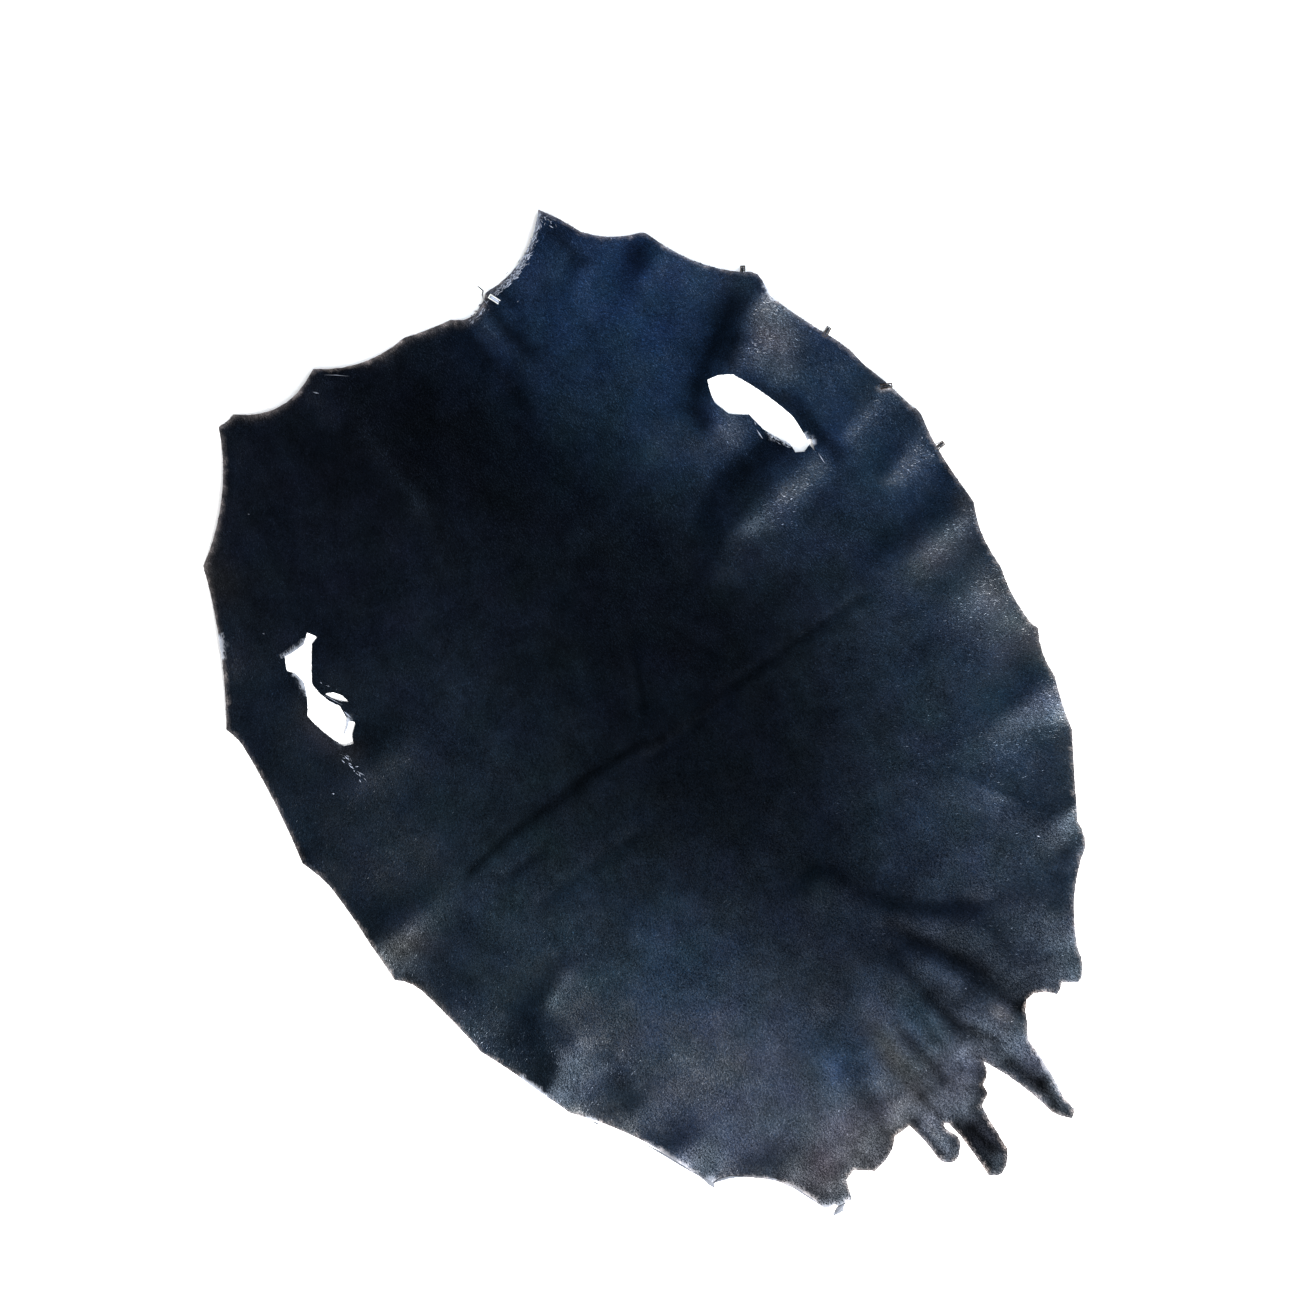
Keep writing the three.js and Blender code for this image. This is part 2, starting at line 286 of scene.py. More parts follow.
def uneven_loop(points):
    way = np.roll(points, -1, axis=0) - np.roll(points, 1, axis=0)
    side = np.stack([-way[:, 1], way[:, 0]], axis=1)
    side /= np.linalg.norm(side, axis=1, keepdims=True)
    return points + side * CUT_UNEVENNESS * noise_field(points, CUT_WAVES, layer=0)[:, None]


hide_loops = [uneven_loop(dense_loop(loop)) for loop in edge_loops]
edge_points = np.concatenate(hide_loops)
edge_tree = kdtree.KDTree(len(edge_points))
for number, (x, y) in enumerate(edge_points):
    edge_tree.insert((x, y, 0.0), number)
edge_tree.balance()
print("edge points", len(edge_points))

# %% Triangles of the hide
MESH_SPACING = 4.8 * MM
MESH_JITTER = 0.18
EDGE_CLEARANCE = 2.4 * MM


def jittered_field(spacing, jitter):
    row_height = spacing * math.sqrt(3) / 2
    columns = int((cad_high.x - cad_low.x) / spacing) + 2
    count = int((cad_high.y - cad_low.y) / row_height) + 2
    column, row = np.meshgrid(np.arange(columns), np.arange(count))
    x = cad_low.x + (column + 0.5 * (row % 2)) * spacing
    y = cad_low.y + row * row_height
    field = np.stack([x, y], axis=-1).reshape(-1, 2)
    return field + rng.uniform(-jitter, jitter, field.shape) * spacing


def nearest_edge(points):
    found = [edge_tree.find((x, y, 0.0)) for x, y in points]
    return np.array([f[2] for f in found]), np.array([f[1] for f in found])


inner_points = jittered_field(MESH_SPACING, MESH_JITTER)
inner_points = inner_points[nearest_edge(inner_points)[0] > EDGE_CLEARANCE]
edge_links = []
first = 0
for loop in hide_loops:
    edge_links += [(first + k, first + (k + 1) % len(loop)) for k in range(len(loop))]
    first += len(loop)


def within(points, loop):
    x, y = points[:, 0], points[:, 1]
    inside = np.zeros(len(points), bool)
    for a, b in zip(loop, np.roll(loop, -1, axis=0)):
        if a[1] != b[1]:
            crossing_x = a[0] + (y - a[1]) * (b[0] - a[0]) / (b[1] - a[1])
            inside ^= ((a[1] > y) != (b[1] > y)) & (x < crossing_x)
    return inside


INSIDE_RIM = 1
SMALLEST_STEP = 1e-7
found = geometry.delaunay_2d_cdt(
    [Vector(p) for p in np.concatenate([edge_points, inner_points])],
    edge_links,
    [],
    INSIDE_RIM,
    SMALLEST_STEP,
)
plan = np.array([tuple(p) for p in found[0]])
triangles = np.array(found[2])
middles = plan[triangles].mean(axis=1)
for hole in hide_loops[1:]:
    in_hole = within(middles, hole)
    triangles, middles = triangles[~in_hole], middles[~in_hole]
used = np.unique(triangles)
renumber = np.full(len(plan), -1)
renumber[used] = np.arange(len(used))
plan, triangles = plan[used], renumber[triangles]
corner_a, corner_b, corner_c = (plan[triangles[:, k]] for k in range(3))
doubled = np.cross(corner_b - corner_a, corner_c - corner_a)
triangles[doubled < 0] = triangles[doubled < 0][:, ::-1]
plan_area = float(np.abs(doubled).sum() / 2)
print("hide", len(plan), "points", len(triangles), "triangles", round(plan_area, 4), "square metres")

# %% [markdown]
# ## Creases
# The solid has the broad folds. Leather that was folded for storage also keeps finer creases: one right
# across the middle, small ones beside it, and a fan of pleats at the root of the tail. Each row below is
# one of them, with its half width, its height, which is negative for a trough, and the way that it runs.
# They are listed part by part, and a low ripple is added all over, because no skin lies quite even.

# %% Creases of the shoulders and back
CREASE_COLUMNS = "half height way"
SHOULDER_CREASES = table(
    CREASE_COLUMNS,
    (16, 3.0, [(350, 219), (320, 229), (300, 243), (275, 262), (245, 272), (225, 300)]),
    (14, 1.5, [(300, 244), (288, 300)]),
    (12, -1.5, [(250, 349), (190, 352), (150, 372)]),
    (18, 2.0, [(282, 390), (200, 396), (165, 405), (138, 424)]),
    (9, -2.0, [(301, 335), (300, 375)]),
    (12, 2.0, [(368, 386), (325, 391)]),
    (12, 2.0, [(395, 436), (340, 456)]),
    (7, -2.0, [(103, 74), (113, 130)]),
    (8, -2.0, [(76, 95), (80, 150)]),
    (7, -1.5, [(125, 60), (124, 92)]),
    (12, 2.0, [(206, 92), (188, 104)]),
    (13, 2.0, [(270, 132), (248, 140)]),
    (4, -0.8, [(326, 291), (338, 299)]),
    (10, 1.4, [(-86, 28), (-84, 190)]),
    (20, 1.2, [(-305, 372), (-245, 378)]),
)
BACK_CREASES = table(
    CREASE_COLUMNS,
    (5, -0.5, [(-265, 530), (-200, 524), (-150, 527), (-100, 524), (-50, 528)]),
    (6, -0.7, [(-235, 560), (-185, 560)]),
    (8, -0.8, [(-225, 603), (-100, 604)]),
    (6, -0.8, [(-40, 548), (60, 548)]),
    (6, -0.8, [(60, 537), (240, 545)]),
    (7, -0.9, [(20, 430), (-18, 500)]),
    (7, -0.9, [(55, 450), (75, 500)]),
)
print("creases of the shoulders and back", len(SHOULDER_CREASES) + len(BACK_CREASES))

# %% Creases of the flanks and tail
FLANK_CREASES = table(
    CREASE_COLUMNS,
    (22, 2.0, [(390, 528), (320, 537)]),
    (18, 1.5, [(372, 594), (315, 597)]),
    (22, 2.0, [(352, 727), (300, 729)]),
    (16, 1.5, [(288, 853), (255, 857)]),
    (4, 0.8, [(205, 750), (222, 780), (240, 810), (248, 830)]),
    (9, 1.2, [(268, 891), (244, 896)]),
    (20, 2.0, [(-394, 535), (-330, 530)]),
    (12, 2.5, [(-250, 674), (-288, 690), (-298, 706), (-298, 736), (-310, 750), (-338, 768)]),
    (11, -1.5, [(-272, 790), (-268, 820)]),
    (15, 1.5, [(-270, 897), (-246, 900)]),
    (16, 1.5, [(-212, 972), (-186, 976)]),
)
TAIL_CREASES = table(
    CREASE_COLUMNS,
    (9, -0.9, [(0, 745), (30, 741), (48, 758), (55, 790), (70, 815), (100, 845), (155, 880)]),
    (10, -1.5, [(54, 840), (75, 875), (98, 915), (110, 950), (118, 985)]),
    (8, -1.4, [(42, 862), (47, 920), (50, 958), (68, 1004)]),
    (12, -1.5, [(143, 880), (144, 965)]),
    (4, -1.0, [(0, 935), (3, 1000)]),
    (16, -1.2, [(-56, 885), (-56, 975)]),
)
CREASES = SHOULDER_CREASES + BACK_CREASES + FLANK_CREASES + TAIL_CREASES
print("all creases", len(CREASES))

# %% Relief of the hide
RIPPLES = table("waves height layer", (14, 0.55, 5.18), (33, 0.28, 12.21), (75, 0.10, 27.75))
SMOOTHING_ROUNDS = 12
BODY_LIFT = 1.6 * MM
LIFT_WIDTH = 30 * MM


def distance_to_way(points, way):
    nearest = np.full(len(points), np.inf)
    ends = [on_skin(*place) for place in way]
    for start, end in zip(ends, ends[1:]):
        run = end - start
        share = np.clip((points - start) @ run / (run @ run), 0, 1)
        nearest = np.minimum(nearest, np.linalg.norm(points - start - share[:, None] * run, axis=1))
    return nearest


def crease_heights(points):
    heights = np.zeros(len(points))
    for row in CREASES:
        distance = distance_to_way(points, row["way"])
        heights += row["height"] * MM * np.exp(-((distance / (row["half"] * MM)) ** 2))
    return heights


def ripple_heights(points):
    heights = np.zeros(len(points))
    for row in RIPPLES:
        heights += row["height"] * MM * noise_field(points, row["waves"], row["layer"])
    return heights


def smooth_over_mesh(values, rounds):
    pairs = np.concatenate([triangles[:, [0, 1]], triangles[:, [1, 2]], triangles[:, [2, 0]]])
    count = np.bincount(pairs.ravel(), minlength=len(values))
    for _ in range(rounds):
        total = np.bincount(pairs[:, 0], values[pairs[:, 1]], len(values))
        total += np.bincount(pairs[:, 1], values[pairs[:, 0]], len(values))
        values = 0.5 * values + 0.5 * total / count
    return values


fold_heights = smooth_over_mesh(np.array([solid_height(x, y) for x, y in plan]), SMOOTHING_ROUNDS)
plan_distance, plan_edge = nearest_edge(plan)
body_lift = BODY_LIFT * np.clip(plan_distance / LIFT_WIDTH, 0, 1)
relief = np.maximum(0.0, fold_heights + body_lift + crease_heights(plan) + ripple_heights(plan))
print("highest fold", round(float(relief.max()) / MM, 1), "mm")

# %% [markdown]
# ## Where the hair stops
# Along parts of the rim the knife left a bare margin, and the pale flesh side curls up into view. A row
# gives the two ends of such a stretch of the rim and its width. Small torn scraps are bare all over. No
# hair is set there, and the hide is painted as flesh. Towards the tail hem the flesh is mixed back into the
# coat's dark, as painted shade against the strong light from beyond the tail.

# %% Bare margins and scraps
BARE_MARGINS = table(
    "across along to_across to_along width",
    (-331, 174, -339, 198, 3.2),
    (352, 222, 353, 240, 1.8),
    (-350, 736, -339, 768, 2.6),
    (-318, 812, -312, 824, 2.0),
    (-284, 868, -257, 944, 2.8),
    (-246, 948, -176, 1038, 2.2),
    (92, 47, 108, 56, 4.0),
    (150, 44, 204, 22, 1.6),
    (103, 1036, 97, 1082, 3.6),
    (-288, 234, -256, 236, 2.6),
    (-293, 260, -289, 284, 3.0),
    (291, 372, 290, 379, 2.2),
    (272, 374, 262, 348, 0.6),
)
BARE_SCRAPS = table(
    "half way",
    (5.0, [(-153, 1049), (-172, 1050)]),
    (5.5, [(-255, 944), (-256, 953)]),
    (3.5, [(-176, 1037), (-166, 1043)]),
    (3.2, [(-274, 328), (-290, 340)]),
    (2.4, [(284, 378), (294, 384)]),
)
print("bare margins", len(BARE_MARGINS), "scraps", len(BARE_SCRAPS))

# %% Bare places of the hide
MARGIN_SNAP = 12 * MM
MARGIN_RAGGED = (0.65, 1.25)
BARE_FADE = 1.6
LEAST_MARGIN = 0.1 * MM
CURLED_MARGIN = 0.5 * MM
CURL_HEIGHT = 1.4 * MM
CURL_WIDTH = 7 * MM
HEM_PAINTED_SHADE = 0.78
HEM_START = on_skin(0, 800)[1]
HEM_RUN = 100 * MM


def mark_margins():
    widths = np.zeros(len(edge_points))
    first = 0
    for loop in hide_loops:
        for row in BARE_MARGINS:
            ends = [on_skin(row["across"], row["along"]), on_skin(row["to_across"], row["to_along"])]
            gaps = [np.linalg.norm(loop - end, axis=1) for end in ends]
            if max(gap.min() for gap in gaps) > MARGIN_SNAP:
                continue
            start, stop = (int(gap.argmin()) for gap in gaps)
            steps = (stop - start) % len(loop)
            if steps > len(loop) // 2:
                start, steps = stop, len(loop) - steps
            for k in range(steps + 1):
                taper = math.sin(math.pi * (k + 0.5) / (steps + 1)) ** 0.5
                place = first + (start + k) % len(loop)
                ragged = rng.uniform(*MARGIN_RAGGED)
                widths[place] = max(widths[place], row["width"] * MM * taper * ragged)
        first += len(loop)
    return widths


margin_widths = mark_margins()


def scrap_share(points):
    share = np.zeros(len(points))
    for row in BARE_SCRAPS:
        distance = distance_to_way(points, row["way"])
        share = np.maximum(share, np.clip(2 - distance / (row["half"] * MM), 0, 1))
    return share


def edge_margin(points):
    distance, edge = nearest_edge(points)
    return distance, margin_widths[edge]


plan_margin = margin_widths[plan_edge]
plan_bare = np.clip(BARE_FADE - plan_distance / np.maximum(plan_margin, LEAST_MARGIN), 0, 1)
plan_bare *= plan_margin > LEAST_MARGIN
plan_bare = np.maximum(plan_bare, scrap_share(plan))
# Painted shade: towards the tail hem the flesh is mixed back into the coat's dark, to offset the strong
# light from beyond the tail.
plan_bare *= 1 - HEM_PAINTED_SHADE * np.clip((HEM_START - plan[:, 1]) / HEM_RUN, 0, 1)
margin_curl = CURL_HEIGHT * np.clip(1 - plan_distance / CURL_WIDTH, 0, 1) ** 2
relief = relief + margin_curl * (plan_margin > CURLED_MARGIN)
print("bare points on the hair side", int((plan_bare > 0.5).sum()))

# %% [markdown]
# ## Colour of the coat
# The coat isn't one black. It is darkest over the left shoulder and down the spine, blue-black on the right
# shoulder, and greyer over the rump and flanks. The patches are partly the coat's own tone and partly
# painted light: the grey sheen over the rump and flanks, the blue on the right shoulder where a bluish
# light reflects, and small pale patches on lit ridges are painted into the colour. Wide soft patches, each
# mixed over the last, give the colour at any place, and both the hide and the hair take it from here.

# %% Colours of the coat, with painted sheen and light
COAT_BASE = np.array([0.0040, 0.0084, 0.0152])
# Partly the coat's own tone, partly painted light: grey sheen on the rump and flanks, reflected blue light
# on the right shoulder, pale patches on lit ridges.
COAT_AND_SHEEN_PATCHES = table(
    "across along wide long red green blue share",
    (-120, 120, 260, 230, 0.0030, 0.0050, 0.0100, 0.9),
    (205, 150, 125, 170, 0.0060, 0.0215, 0.0550, 0.9),
    (140, 235, 70, 95, 0.0050, 0.0150, 0.0250, 0.6),
    (40, 530, 130, 120, 0.0038, 0.0078, 0.0168, 0.7),
    (50, 800, 150, 120, 0.0020, 0.0082, 0.0190, 0.8),
    (345, 380, 80, 190, 0.0058, 0.0180, 0.0400, 0.8),
    (-230, 600, 170, 170, 0.0058, 0.0130, 0.0205, 0.6),
    (-110, 930, 210, 170, 0.0080, 0.0130, 0.0230, 0.8),
    (290, 690, 110, 150, 0.0068, 0.0163, 0.0300, 0.7),
    (-150, 735, 60, 60, 0.0040, 0.0140, 0.0300, 0.6),
    (-64, 930, 30, 45, 0.0050, 0.0180, 0.0380, 0.7),
    (26, 940, 18, 35, 0.0060, 0.0180, 0.0300, 0.7),
    (-22, 955, 14, 40, 0.0160, 0.0180, 0.0170, 0.8),
    (-110, 1005, 130, 45, 0.0165, 0.0172, 0.0205, 0.8),
    (-368, 555, 35, 22, 0.0098, 0.0108, 0.0130, 0.8),
    (324, 268, 24, 34, 0.0200, 0.0210, 0.0290, 0.8),
    (345, 645, 36, 48, 0.0255, 0.0330, 0.0440, 0.8),
    (335, 555, 42, 22, 0.0200, 0.0240, 0.0290, 0.8),
    (-298, 115, 26, 45, 0.0120, 0.0140, 0.0180, 0.8),
    (-301, 316, 13, 28, 0.0240, 0.0260, 0.0320, 0.7),
    (-288, 356, 13, 14, 0.0200, 0.0220, 0.0270, 0.7),
    (358, 694, 14, 16, 0.0280, 0.0320, 0.0390, 0.8),
    (252, 87, 30, 20, 0.0100, 0.0260, 0.0560, 0.7),
    (150, 72, 40, 22, 0.0120, 0.0270, 0.0560, 0.8),
    (347, 207, 22, 14, 0.0170, 0.0360, 0.0700, 0.8),
    (304, 154, 24, 40, 0.0110, 0.0270, 0.0560, 0.7),
    (98, 985, 12, 18, 0.0240, 0.0280, 0.0360, 0.8),
    (-376, 615, 10, 30, 0.0200, 0.0230, 0.0280, 0.7),
    (384, 530, 12, 14, 0.0180, 0.0220, 0.0280, 0.7),
    (40, 1075, 80, 40, 0.0090, 0.0118, 0.0175, 0.7),
)
print("patches of colour", len(COAT_AND_SHEEN_PATCHES))

# %% Depths of the coat, with painted shade and sheen
# Partly the coat's own darker back, partly painted shade and sheen: a depth below one darkens colour and
# shine, a depth above one raises the shine.
DEPTH_AND_SHADE_PATCHES = table(
    "across along wide long depth",
    (-60, 110, 150, 120, 0.54),
    (20, 200, 90, 120, 0.50),
    (10, 420, 110, 170, 0.47),
    (20, 640, 130, 130, 0.48),
    (40, 560, 140, 80, 0.82),
    (90, 400, 70, 120, 0.62),
    (134, 510, 80, 70, 0.62),
    (-155, 535, 95, 75, 0.62),
    (-70, 595, 90, 75, 0.72),
    (28, 768, 90, 110, 0.48),
    (-35, 860, 45, 45, 0.55),
    (-158, 660, 48, 32, 0.76),
    (80, 285, 38, 65, 0.70),
    (-46, 505, 30, 25, 0.72),
    (214, 714, 30, 30, 0.70),
    (130, 630, 100, 100, 0.68),
    (-215, 215, 85, 60, 0.77),
    (-335, 205, 40, 50, 1.25),
    (-335, 345, 45, 45, 1.25),
    (82, 885, 72, 95, 0.48),
    (146, 925, 36, 55, 0.72),
    (135, 985, 45, 32, 0.55),
    (246, 870, 25, 25, 0.65),
    (150, 868, 22, 20, 0.62),
    (302, 748, 30, 28, 0.70),
    (262, 638, 42, 40, 0.71),
    (215, 362, 60, 26, 0.55),
    (310, 150, 40, 60, 1.30),
    (350, 310, 40, 60, 1.20),
    (375, 425, 40, 80, 1.32),
    (345, 645, 50, 60, 1.15),
    (-330, 470, 50, 70, 1.20),
    (-162, 988, 48, 36, 0.62),
    (-78, 750, 45, 65, 0.80),
    (-190, 850, 50, 65, 1.50),
    (-88, 405, 85, 80, 0.74),
    (10, 980, 60, 50, 0.65),
    (-165, 912, 50, 40, 0.70),
    (218, 834, 30, 30, 0.68),
    (-172, 150, 35, 40, 1.40),
)


def patch_share(points, row):
    offset = (points - on_skin(row["across"], row["along"])) / (np.array([row["wide"], row["long"]]) * MM)
    return np.exp(-(offset**2).sum(axis=1))


print("patches of depth", len(DEPTH_AND_SHADE_PATCHES))

# %% [markdown]
# These strokes are painted shade and painted sheen along the folds. Where a fold turns the hair away from
# the light, a depth below one darkens the coat's colour and shine, as painted shade. Where it faces the
# light, a depth above one raises the shine, as painted sheen. Most of these strokes follow the folds and
# pleats. The rest, like the patches above, were set by comparing the mean brightness and hue of a render
# with the photograph's, place by place. Each stroke has a half width, a depth that multiplies the coat, and
# its way over the skin.

# %% Painted shade and sheen of the shoulders
SHADING_COLUMNS = "half depth way"
SHOULDER_SHADING = table(
    SHADING_COLUMNS,
    (12, 0.40, [(312, 217), (290, 230), (250, 252), (216, 278), (211, 302)]),
    (12, 0.42, [(290, 252), (272, 266)]),
    (14, 1.8, [(346, 204), (316, 202)]),
    (10, 1.7, [(341, 230), (318, 258), (297, 281)]),
    (15, 2.8, [(353, 256), (334, 284), (316, 306)]),
    (8, 0.55, [(281, 298), (294, 332)]),
    (12, 2.3, [(242, 308), (244, 322), (232, 328)]),
    (8, 0.5, [(104, 62), (110, 128)]),
    (8, 0.6, [(68, 62), (76, 180)]),
    (5, 0.6, [(124, 60), (126, 80)]),
    (9, 0.55, [(208, 42), (208, 88)]),
    (14, 0.4, [(256, 124), (264, 112)]),
    (10, 0.5, [(300, 330), (304, 380), (306, 410)]),
    (9, 0.45, [(266, 350), (270, 366)]),
    (14, 0.6, [(384, 330), (388, 352)]),
    (10, 0.45, [(398, 454), (395, 470), (396, 490)]),
    (22, 1.5, [(170, 298), (192, 312), (212, 326)]),
    (11, 1.8, [(284, 406), (240, 408)]),
    (12, 0.7, [(245, 438), (305, 432)]),
    (12, 1.6, [(332, 402), (352, 394)]),
    (14, 1.8, [(366, 376), (391, 374)]),
    (14, 1.5, [(345, 468), (370, 457)]),
    (18, 0.7, [(-275, 358), (-235, 360)]),
    (26, 1.4, [(-290, 395), (-255, 400)]),
    (22, 1.9, [(-335, 484), (-298, 480)]),
    (12, 2.3, [(-86, 22), (-97, 30), (-98, 62)]),
    (8, 0.45, [(-70, 22), (-54, 26)]),
    (12, 1.5, [(-84, 100), (-80, 190)]),
    (14, 1.5, [(-200, 8), (-196, 40)]),
    (11, 1.8, [(86, 67), (84, 108)]),
    (10, 1.6, [(62, 140), (72, 128)]),
    (8, 1.3, [(240, 74), (275, 100)]),
    (9, 0.65, [(222, 54), (230, 60)]),
)
print("strokes on the shoulders", len(SHOULDER_SHADING))

# %% Painted shade and sheen of the back and flanks
BACK_SHADING = table(
    SHADING_COLUMNS,
    (6, 0.5, [(-262, 531), (-200, 525), (-150, 527), (-100, 524), (-40, 531), (-20, 540)]),
    (5, 0.7, [(-20, 540), (60, 541), (140, 540), (240, 545)]),
    (5, 0.65, [(-228, 560), (-180, 556)]),
    (7, 0.75, [(-215, 602), (-130, 600)]),
    (5, 0.75, [(18, 425), (2, 470), (-22, 515)]),
    (5, 0.7, [(54, 445), (75, 500)]),
    (22, 0.82, [(240, 512), (315, 514)]),
)
FLANK_SHADING = table(
    SHADING_COLUMNS,
    (14, 0.75, [(-345, 585), (-335, 635)]),
    (12, 1.1, [(-360, 655), (-330, 668)]),
    (20, 0.5, [(-320, 728), (-320, 712), (-312, 690)]),
    (15, 1.55, [(-318, 664), (-298, 667), (-255, 660)]),
    (30, 1.75, [(-257, 722), (-255, 758)]),
    (12, 0.75, [(-280, 690), (-262, 698)]),
    (8, 0.45, [(-396, 392), (-396, 412)]),
    (8, 0.45, [(-384, 580), (-384, 600)]),
    (12, 1.5, [(-382, 445), (-378, 462)]),
    (14, 2.4, [(-230, 955), (-214, 968)]),
    (12, 1.4, [(-298, 808), (-290, 824)]),
    (10, 1.5, [(384, 526), (378, 538)]),
    (12, 1.8, [(-340, 196), (-338, 212)]),
    (14, 0.75, [(-372, 546), (-350, 560)]),
    (10, 0.7, [(282, 860), (284, 880)]),
    (14, 0.6, [(-300, 745), (-318, 764)]),
    (13, 0.5, [(-266, 776), (-266, 805)]),
    (14, 1.2, [(-268, 872), (-256, 892)]),
    (13, 1.9, [(-322, 808), (-292, 852)]),
    (16, 0.6, [(-250, 910), (-236, 920)]),
    (8, 1.3, [(-358, 705), (-342, 755)]),
    (8, 1.6, [(-376, 612), (-373, 628)]),
    (13, 2.7, [(362, 680), (354, 702)]),
    (12, 2.0, [(332, 776), (318, 794), (302, 832)]),
    (10, 1.3, [(348, 722), (346, 740)]),
    (12, 1.35, [(262, 905), (240, 935)]),
    (11, 0.68, [(188, 950), (212, 962), (196, 975)]),
    (15, 1.6, [(345, 688), (285, 697)]),
)
print("strokes on the back and flanks", len(BACK_SHADING) + len(FLANK_SHADING))

# %% Painted shade and sheen of the tail
TAIL_SHADING = table(
    SHADING_COLUMNS,
    (8, 0.8, [(-2, 744), (30, 740), (46, 760), (56, 790), (70, 815), (100, 845), (145, 868)]),
    (10, 0.4, [(58, 838), (76, 872), (96, 908), (108, 940)]),
    (18, 0.7, [(108, 900), (114, 980)]),
    (7, 0.6, [(42, 858), (44, 905)]),
    (8, 0.65, [(56, 924), (66, 948)]),
    (7, 0.38, [(46, 920), (52, 962), (66, 990), (74, 1000)]),
    (9, 2.0, [(66, 900), (74, 918), (80, 928)]),
    (10, 1.8, [(92, 962), (98, 985)]),
    (5, 1.5, [(72, 972), (80, 995)]),
    (11, 1.3, [(165, 935), (172, 955)]),
    (18, 0.7, [(-62, 900), (-48, 925)]),
    (14, 0.65, [(-66, 940), (-70, 975)]),
    (7, 0.6, [(-72, 995), (-78, 1010)]),
    (6, 0.65, [(-112, 1012), (-108, 1028)]),
    (8, 1.1, [(-54, 985), (-60, 1010)]),
    (7, 0.8, [(-26, 945), (-24, 1000)]),
    (5, 1.3, [(-10, 920), (-6, 985)]),
    (6, 0.55, [(0, 930), (3, 960), (6, 1005)]),
    (8, 1.3, [(20, 975), (18, 1000)]),
    (5, 1.3, [(36, 940), (30, 985), (40, 1010)]),
    (5, 0.7, [(26, 950), (26, 985)]),
    (4, 0.5, [(-24, 1000), (-20, 1036)]),
    (5, 0.6, [(50, 1000), (52, 1012)]),
    (7, 0.65, [(26, 1028), (34, 1036)]),
    (4, 0.55, [(-44, 1020), (-42, 1066)]),
    (5, 1.3, [(-36, 1030), (-32, 1064)]),
    (10, 0.5, [(-195, 985), (-162, 1036), (-100, 1030), (-55, 1022)]),
    (8, 0.4, [(-46, 1060), (-36, 1076), (-24, 1064)]),
    (16, 1.3, [(0, 885), (2, 915)]),
    (8, 0.25, [(-14, 1106), (0, 1116), (14, 1104)]),
    (8, 0.3, [(80, 1096), (92, 1112)]),
    (9, 0.3, [(16, 1046), (32, 1042), (42, 1026)]),
    (9, 0.2, [(116, 990), (132, 991)]),
    (7, 2.1, [(94, 978), (106, 998), (104, 1010)]),
    (7, 1.4, [(12, 940), (10, 970)]),
    (12, 0.75, [(-46, 866), (-36, 878)]),
    (9, 0.2, [(-11, 1048), (-10, 1100)]),
    (6, 0.3, [(14, 1060), (16, 1095)]),
    (8, 0.7, [(88, 1030), (94, 1046)]),
    (10, 0.5, [(-66, 1026), (-48, 1018)]),
    (12, 1.5, [(-46, 968), (-48, 992)]),
    (16, 1.4, [(6, 855), (14, 868)]),
    (10, 0.65, [(14, 1026), (26, 1034)]),
    (12, 0.07, [(0, 1062), (4, 1092)]),
    (12, 0.2, [(72, 1032), (84, 1068)]),
    (7, 0.25, [(86, 1066), (86, 1092)]),
    (7, 0.85, [(99, 1012), (96, 1050)]),
)
print("strokes on the tail", len(TAIL_SHADING))

# %% Depth, hue and painted shading at a place
SHADING_STROKES = SHOULDER_SHADING + BACK_SHADING + FLANK_SHADING + TAIL_SHADING
BLOTCHES = table("waves spread", (36, 0.20), (95, 0.25))
HUE_WAVES = 30
HUE_SPREAD = np.array([0.20, 0.07, 0.16])


def coat_depths_and_shading(points):
    depths = np.ones(len(points))
    for row in DEPTH_AND_SHADE_PATCHES:
        depths *= 1 + (row["depth"] - 1) * patch_share(points, row)
    # The strokes paint shade where the depth is below one and sheen where it is above one, along the folds.
    for row in SHADING_STROKES:
        distance = distance_to_way(points, row["way"])
        depths *= 1 + (row["depth"] - 1) * np.exp(-((distance / (row["half"] * MM)) ** 2))
    for row in BLOTCHES:
        depths *= np.exp(row["spread"] * noise_field(points, row["waves"], layer=4.3))
    return depths


# The hues carry the coat's own tone together with the painted sheen and blue light of the patches.
def coat_and_sheen_hues(points):
    hues = np.tile(COAT_BASE, (len(points), 1))
    for row in COAT_AND_SHEEN_PATCHES:
        patch = np.array([row["red"], row["green"], row["blue"]])
        hues += row["share"] * patch_share(points, row)[:, None] * (patch - hues)
    layers = [noise_field(points, HUE_WAVES, layer) for layer in (7.1, 8.2, 9.3)]
    return hues * np.exp(HUE_SPREAD * np.stack(layers, axis=1))


print("all strokes of the nap", len(SHADING_STROKES))

# %% [markdown]
# Along the outer cut the coat pales over the last few millimetres, most of all at the head end. This is
# partly lighter hair at the edge and partly painted light, the glow of the bright floor over the dark rim.
# What shines on black hair takes a little of the coat's own hue, and the tint gives that to the shader.
# Where the painted sheen raises the depth above one, it is the shine that grows, and it is white.

# %% Coat at a place
RIM_PALE = np.array([0.118, 0.105, 0.100])
RIM_REACH = 1.2 * MM
RIM_PALING = table(
    "across along wide long reach",
    (-160, 12, 40, 40, 2.8),
    (-14, 42, 30, 30, 2.8),
    (48, 52, 30, 30, 2.8),
    (-290, 105, 30, 40, 2.6),
    (-255, 40, 40, 40, 2.0),
    (92, 60, 25, 25, 3.0),
    (0, 1070, 130, 50, 0.9),
    (402, 426, 12, 14, 3.4),
    (124, 992, 14, 10, 0.4),
    (66, 1048, 14, 14, 0.4),
    (-58, 26, 25, 25, 0.4),
    (-208, 16, 22, 25, 0.3),
)
RIM_PATCHINESS = 1.2
RIM_WAVES = 160
HUE_IN_SHINE = 0.4


